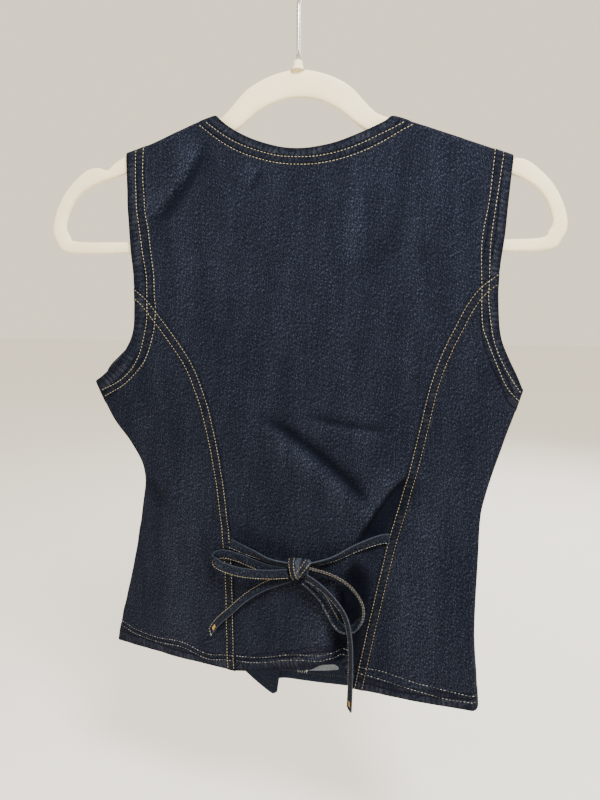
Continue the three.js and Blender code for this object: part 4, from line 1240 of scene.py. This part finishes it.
def stripFrames(rows, upright, count):  # centre, across and facing directions along a stretch
    rows = np.array(rows, float)
    steps = np.concatenate([[0], np.cumsum(np.linalg.norm(np.diff(rows[:, :3], axis=0), axis=1) ** 0.5)])
    t = np.linspace(0, steps[-1], count)
    x, z, lift, roll = (readTable(np.column_stack([steps, rows[:, k]]), t) for k in range(4))
    points, normals = clothAt("back", x, z, lift, folded=False)
    frames = []
    for k in range(count):
        along = Vector(points[min(k + 1, count - 1)] - points[max(k - 1, 0)]).normalized()
        across = Vector((0, 0, 1)) if upright else Vector(normals[k]).cross(along)
        across = (across - along * across.dot(along)).normalized()
        across = Matrix.Rotation(math.radians(roll[k]), 3, along) @ across
        frames.append((Vector(points[k]), across, across.cross(along), along))
    return frames


def stripRings(frames):
    width, thick = tieShape["width"] / 2, tieShape["thick"] / 2
    depth, furrow, spread = tieShape["pinch"]
    rings = []
    for centre, across, facing, along in frames:
        ring = []
        for turn in ringTurns(tieShape["around"]):
            w, h = (squared(wave(turn), power) for wave, power in zip((math.cos, math.sin), tieShape["powers"]))
            pinch = 1 - depth * math.exp(-((abs(w) - furrow) / spread) ** 2)
            ring.append(toMetres(np.array(centre + across * (w * width) + facing * (h * thick * pinch))))
        rings.append(ring)
    return rings


tieStretches = {
    # rows, upright, stations, node, flat length, then each stitched edge, its start, end, tone and thread
    "tieStrapLeft": (strapLeft, True, 40, "tie_strap_left", 0.062, [(-1, 0, 1, 0.22, "pale")]),
    "tieStrapRight": (strapRight, True, 44, "tie_strap_right", 0.077, [(-1, 0, 1, 0.3, "pale")]),
    "bowLoopLeft": (loopLeft, True, 96, "bow_loop_left", 0.165, [(-1, 0, 1, 0.4, "warm")]),
    "bowLoopRight": (loopRight, False, 96, "bow_loop_right", 0.148,
                     [(1, 0, 0.42, 0.25, "warm"), (-1, 0.66, 0.97, 0.1, "warm"), (1, 0.42, 1, 0.15, "pale")]),
    "tieTailLeft": (tailLeft, False, 60, "tie_tail_left", 0.105, [(-1, 0, 1, 0.5, "warm")]),
    "tieTailRight": (tailRight, False, 70, "tie_tail_right", 0.142, [(-1, 0, 1, 0.3, "pale")]),
}
tieStitch = {"from": 0.84, "pitch": 2.5, "length": 1.9, "out": 0.42, "lean": 0.7}
tieFrames, tiePieces = {}, {}
tieSewing = {"warm": bmesh.new(), "pale": bmesh.new()}
for name, (rows, upright, count, node, length, stitched) in tieStretches.items():
    tieFrames[name] = stripFrames(rows, upright, count)
    strip = tubeMesh(stripRings(tieFrames[name]), False)
    tiePieces[name] = finishPiece(name, strip, [tieDenim], [node])
    for edge, start, end, tone, kind in stitched:
        frames = tieFrames[name][int(start * count):int(math.ceil(end * count))]
        reach = tieShape["width"] / 2 * tieStitch["from"] * edge
        for face in (1, -1):
            out = face * tieShape["thick"] * tieStitch["out"]
            places = [centre + across * reach + facing * out for centre, across, facing, along in frames]
            normals = [facing * face + across * (tieStitch["lean"] * edge)
                       for centre, across, facing, along in frames]
            threadRow(tieSewing[kind], toMetres(np.array(places)), np.array(normals), tone,
                      tieStitch["pitch"], tieStitch["length"])

bartackShape = {
    "stitches": 7,
    "width": 5,
    "height": 4.2,
    "back": 6.5,  # from the tail's end
    "edge": 0.35,  # share of the half width that it lies off the middle
    "lift": 0.25,
    "taper": 1.5,
    "tone": 0.5,
    "stitch": (0.66, 0.9),  # pitch and length as shares of the width
}
frayShape = {
    "strands": 5,
    "length": 4.2,
    "lengths": (0.6, 1.1),
    "spread": 0.36,
    "stray": (1, 0.5),  # across and outward
    "root": 0.8,
    "tone": 0.9,
    "pitch": 0.7,
}
for name in ("tieTailLeft", "tieTailRight"):
    centre, across, inward, along = tieFrames[name][-1]
    facing, width = -inward, bartackShape["width"]
    pitch, length = (width * share for share in bartackShape["stitch"])
    tack = bmesh.new()
    for k in range(bartackShape["stitches"]):
        t = k / (bartackShape["stitches"] - 1) - 0.5
        middle = centre - along * (bartackShape["back"] + t * bartackShape["height"]) \
            + across * (bartackShape["edge"] * tieShape["width"] / 2) \
            + facing * (tieShape["thick"] / 2 + bartackShape["lift"])
        reach = across * (width / 2 * math.sqrt(1 - (bartackShape["taper"] * t) ** 2))
        row = toMetres(np.array([middle - reach, middle + reach]))
        threadRow(tack, row, np.array([facing, facing]), bartackShape["tone"], pitch, length)
    threadPiece(name + "Bartack", tack, ochreThread)
    fray = bmesh.new()
    sideStray, outStray = frayShape["stray"]
    for k in range(frayShape["strands"]):
        t = 2 * k / (frayShape["strands"] - 1) - 1
        root = centre + across * (t * tieShape["width"] * frayShape["spread"]) - along * frayShape["root"]
        tip = along * frayShape["length"] * random.uniform(*frayShape["lengths"]) \
            + across * random.uniform(-sideStray, sideStray) + facing * random.uniform(-outStray, outStray)
        row = toMetres(np.array([root, root + tip]))
        threadRow(fray, row, np.array([facing, facing]), frayShape["tone"], tip.length * frayShape["pitch"],
                  tip.length)
    threadPiece(name + "Fray", fray, paleThread)

knotShape = {
    "size": (9.4, 6.4, 8.8),
    "place": (-8, -523, 9),  # x, z, lift
    "squareness": 0.8,
    # place, width, height, depth and tilt of each strip round the core
    "wraps": [((4, 0, -0.4), 7, 10.2, 8.2, 12), ((-4, 0, 0.8), 7.4, 9.2, 7.6, -34)],
    "bulge": 0.16,
    "narrowing": 0.2,
    "thick": 0.9,
    "core": (40, 24),
    "wrapGrid": (40, 8),
    "rows": (-0.34, 0.36),  # stitches along each wrap
    "rowLift": 0.3,
    "rowTone": 0.3,
    "rowTurn": 1.3,
}


def buildKnot():  # a core with the strips that wrap round it
    shape, bm = knotShape, bmesh.new()
    segments, rings = shape["core"]
    bmesh.ops.create_uvsphere(bm, u_segments=segments, v_segments=rings, radius=1)
    uv = bm.loops.layers.uv.new("cloth")
    for vert in bm.verts:
        vert.co = [squared(value, shape["squareness"]) * size for value, size in zip(vert.co, shape["size"])]
    for place, width, tall, deep, tilt in shape["wraps"]:
        long, wide = shape["wrapGrid"]
        wrap = bmesh.ops.create_grid(bm, x_segments=long, y_segments=wide, size=0.5)["verts"]
        turn = Matrix.Rotation(math.radians(tilt), 3, "Y")
        for vert in wrap:
            angle, across = vert.co.x * 2 * math.pi, vert.co.y
            bulge = 1 - shape["bulge"] * (2 * across) ** 2
            narrow = 1 - shape["narrowing"] * math.cos(angle) ** 2
            spot = Vector((across * width * narrow, math.cos(angle) * deep * bulge,
                           math.sin(angle) * tall * bulge))
            vert.co = turn @ spot + Vector(place)
    bmesh.ops.remove_doubles(bm, verts=bm.verts[:], dist=1e-4)
    for face in bm.faces:
        for loop in face.loops:
            loop[uv].uv = (loop.vert.co.x * mm, (loop.vert.co.z + loop.vert.co.y) * mm)
    bmesh.ops.scale(bm, vec=(mm, mm, mm), verts=bm.verts[:])
    x, z, lift = shape["place"]
    point, normal = clothAt("back", np.array([x]), np.array([z]), lift, folded=False)
    flat = Vector((normal[0][0], normal[0][1], 0)).normalized()
    turn = Vector((0, 1, 0)).rotation_difference(flat).to_matrix().to_4x4()
    seat = Matrix.Translation(toMetres(point)[0]) @ turn
    bmesh.ops.transform(bm, matrix=seat, verts=bm.verts[:])
    way, out = np.array(seat.to_3x3()), shape["rowLift"]
    angles = np.linspace(-shape["rowTurn"], shape["rowTurn"], 24)
    for place, width, tall, deep, tilt in shape["wraps"]:
        lean = np.array(Matrix.Rotation(math.radians(tilt), 3, "Y"))
        facing = np.column_stack([angles * 0, np.cos(angles), np.sin(angles)]) @ lean.T
        for across in shape["rows"]:
            narrow = 1 - shape["narrowing"] * np.cos(angles) ** 2
            row = np.column_stack([across * width * narrow, np.cos(angles) * (deep + out),
                                   np.sin(angles) * (tall + out)]) @ lean.T + place
            places = row @ way.T * mm + np.array(seat.translation)
            threadRow(tieSewing["warm"], places, facing @ way.T, shape["rowTone"], tieStitch["pitch"],
                      tieStitch["length"])
    knot = finishPiece("bowKnot", bm, [tieDenim], ["bow_knot"])
    thicken(knot, shape["thick"], -1)
    return knot


bowKnot = buildKnot()
threadPiece("tieStitches", tieSewing["warm"])
threadPiece("tiePaleStitches", tieSewing["pale"], paleThread)
print("tie made")

buttonShape = {
    "count": 5,
    "topZ": -318,
    "pitch": 76,
    "radius": 8.5,
    "height": 4.2,
    "lift": 0.9,
    "steps": 36,
    "hole": (10, 2.2, -3),  # half the length and width of the stitched buttonhole, and its place
    "holeStitch": (0.4, 1.3, 2.6),  # tone, pitch, length
}
r, h = buttonShape["radius"], buttonShape["height"]
buttonProfile = [(0, 0), (3, 0), (3, 1.3), (r - 0.8, 1.3), (r - 0.2, 1.7), (r, 2.3), (r, h - 1.2),
                 (r - 0.5, h - 0.6), (r - 1.4, h - 0.4), (r - 2.2, h - 0.9), (r - 3.4, h - 0.8),
                 (2.2, h - 0.2), (0, h)]
for k in range(buttonShape["count"]):
    z = buttonShape["topZ"] - k * buttonShape["pitch"]
    x = float(readTable(frontEdges["right"], z)) - lap["width"] / 2
    lift = float(lapLift(np.array(x), np.array(z))) + buttonShape["lift"]
    point, normal = clothAt("front", np.array([x]), np.array([z]), lift)
    bm = spunMesh(buttonProfile, buttonShape["steps"], toMetres(point)[0], normal[0])
    finishPiece(f"button{k + 1}", bm, [brass], [f"button_{k + 1}"])
    turns = np.linspace(0, 2 * math.pi, 60)
    long, wide, along = buttonShape["hole"]
    hole = np.column_stack([x + along + np.cos(turns) * long, z + np.sin(turns) * wide])
    tone, pitch, length = buttonShape["holeStitch"]
    frontPanels["right"].sew(hole, tone, pitch=pitch, length=length, turned=True)
for side, panel in frontPanels.items():
    threadPiece(panel.name + "Stitches", panel.sewing)
print("buttons made")

facingShape = {
    "width": 22,
    "thick": 0.8,
    "topZ": -258,
    "endZ": -352,
    "gap": 0.8,  # between it and the front
    "grid": (12, 60),
    "inset": 0.6,
    "rowInset": 4.4,
    "rowLift": 0.5,
    "rowStitch": (0.2, 1.7, 4.2),  # tone, pitch, length
}
for side, sign in signs.items():
    shape = facingShape
    across, down = shape["grid"]
    z = np.linspace(shape["topZ"], shape["endZ"], down + 1)[None, :]
    s = np.linspace(0, 1, across + 1)[:, None]
    edge = frontEdgeX(side, z) - sign * shape["inset"]
    x = edge - sign * shape["width"] * (1 - s)
    z = np.broadcast_to(z, x.shape)
    depth = (vestSize["cloth"] + shape["thick"]) / 2 + shape["gap"]
    points, normals = clothAt("front", x, z, -depth)
    cloth = np.stack([x, z], -1) * mm
    maps = {"cloth": cloth, "seams": cloth * 0 + [0, clothEdges["far"]], "wear": cloth * 0}
    bm = gridMesh(toMetres(points), -normals, maps)
    facing = finishPiece("armholeFacing" + side.capitalize(), bm, [denim, reverseInPaintedShade],
                         ["armhole_facing_" + side])
    thicken(facing, shape["thick"], 0, 1)
    "front" + side.capitalize()
    points, normals = clothAt("front", edge[0] - sign * shape["rowInset"], z[0], -depth - shape["rowLift"])
    threadRow(overlock, toMetres(points), -normals, *shape["rowStitch"], True)
threadPiece("overlockStitches", overlock, paleThread)
print("facings made")

studio = {
    "floorZ": -0.86,
    "floorSize": 12,
    "floorColor": (0.94, 0.93, 0.91),
    "worldColor": (1.0, 0.87, 0.66),
    "worldStrength": 1.4,
}
bm = bmesh.new()
bmesh.ops.create_grid(bm, x_segments=1, y_segments=1, size=studio["floorSize"])
bmesh.ops.translate(bm, verts=bm.verts[:], vec=(0, 0, studio["floorZ"]))
floorPaint = Look("floorPaint", studio["floorColor"], 0.9).material
addObject("floor", meshOf("floor", bm, [floorPaint]))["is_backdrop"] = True

world = bpy.data.worlds.new("studio")
scene.world = world
world.use_nodes = True
sky = world.node_tree.nodes["Background"].inputs
sky["Color"].default_value = (*studio["worldColor"], 1)
sky["Strength"].default_value = studio["worldStrength"]

# name, place, aim, size, power
lampRows = [
    ("keyLamp", (-0.4, 0.7, 0.5), (0, 0, -0.02), 0.35, 27),
    ("fillLamp", (0.9, 0.6, 0.1), (0, 0, -0.2), 0.5, 2.8),
    ("frontLamp", (-0.9, -1.5, 0.6), (0, 0, -0.35), 0.9, 40),
]
for name, place, aim, size, power in lampRows:
    light = bpy.data.lights.new(name, "AREA")
    light.size = size
    light.energy = power
    lamp = addObject(name, light)
    lamp.location = place
    lamp.rotation_mode = "QUATERNION"
    lamp.rotation_quaternion = (Vector(aim) - Vector(place)).to_track_quat("-Z", "Y")

cameraFacts = {
    "place": (-0.07064, 0.53007, -0.29961),
    "lens": 27.09,
    "sensor": 36,
    "nearest": 0.01,
    "right": (-0.99196, -0.12631, 0.00737),
    "up": (0.02485, -0.13736, 0.99021),
    "back": (-0.12407, 0.98243, 0.13940),
}
cameraData = bpy.data.cameras.new("camera")
cameraData.lens = cameraFacts["lens"]
cameraData.sensor_width = cameraFacts["sensor"]
cameraData.clip_start = cameraFacts["nearest"]
camera = addObject("camera", cameraData)
axes = Matrix([cameraFacts["right"], cameraFacts["up"], cameraFacts["back"]]).transposed()
camera.matrix_world = Matrix.Translation(cameraFacts["place"]) @ axes.to_4x4()
scene.camera = camera
print("studio made")

low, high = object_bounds()
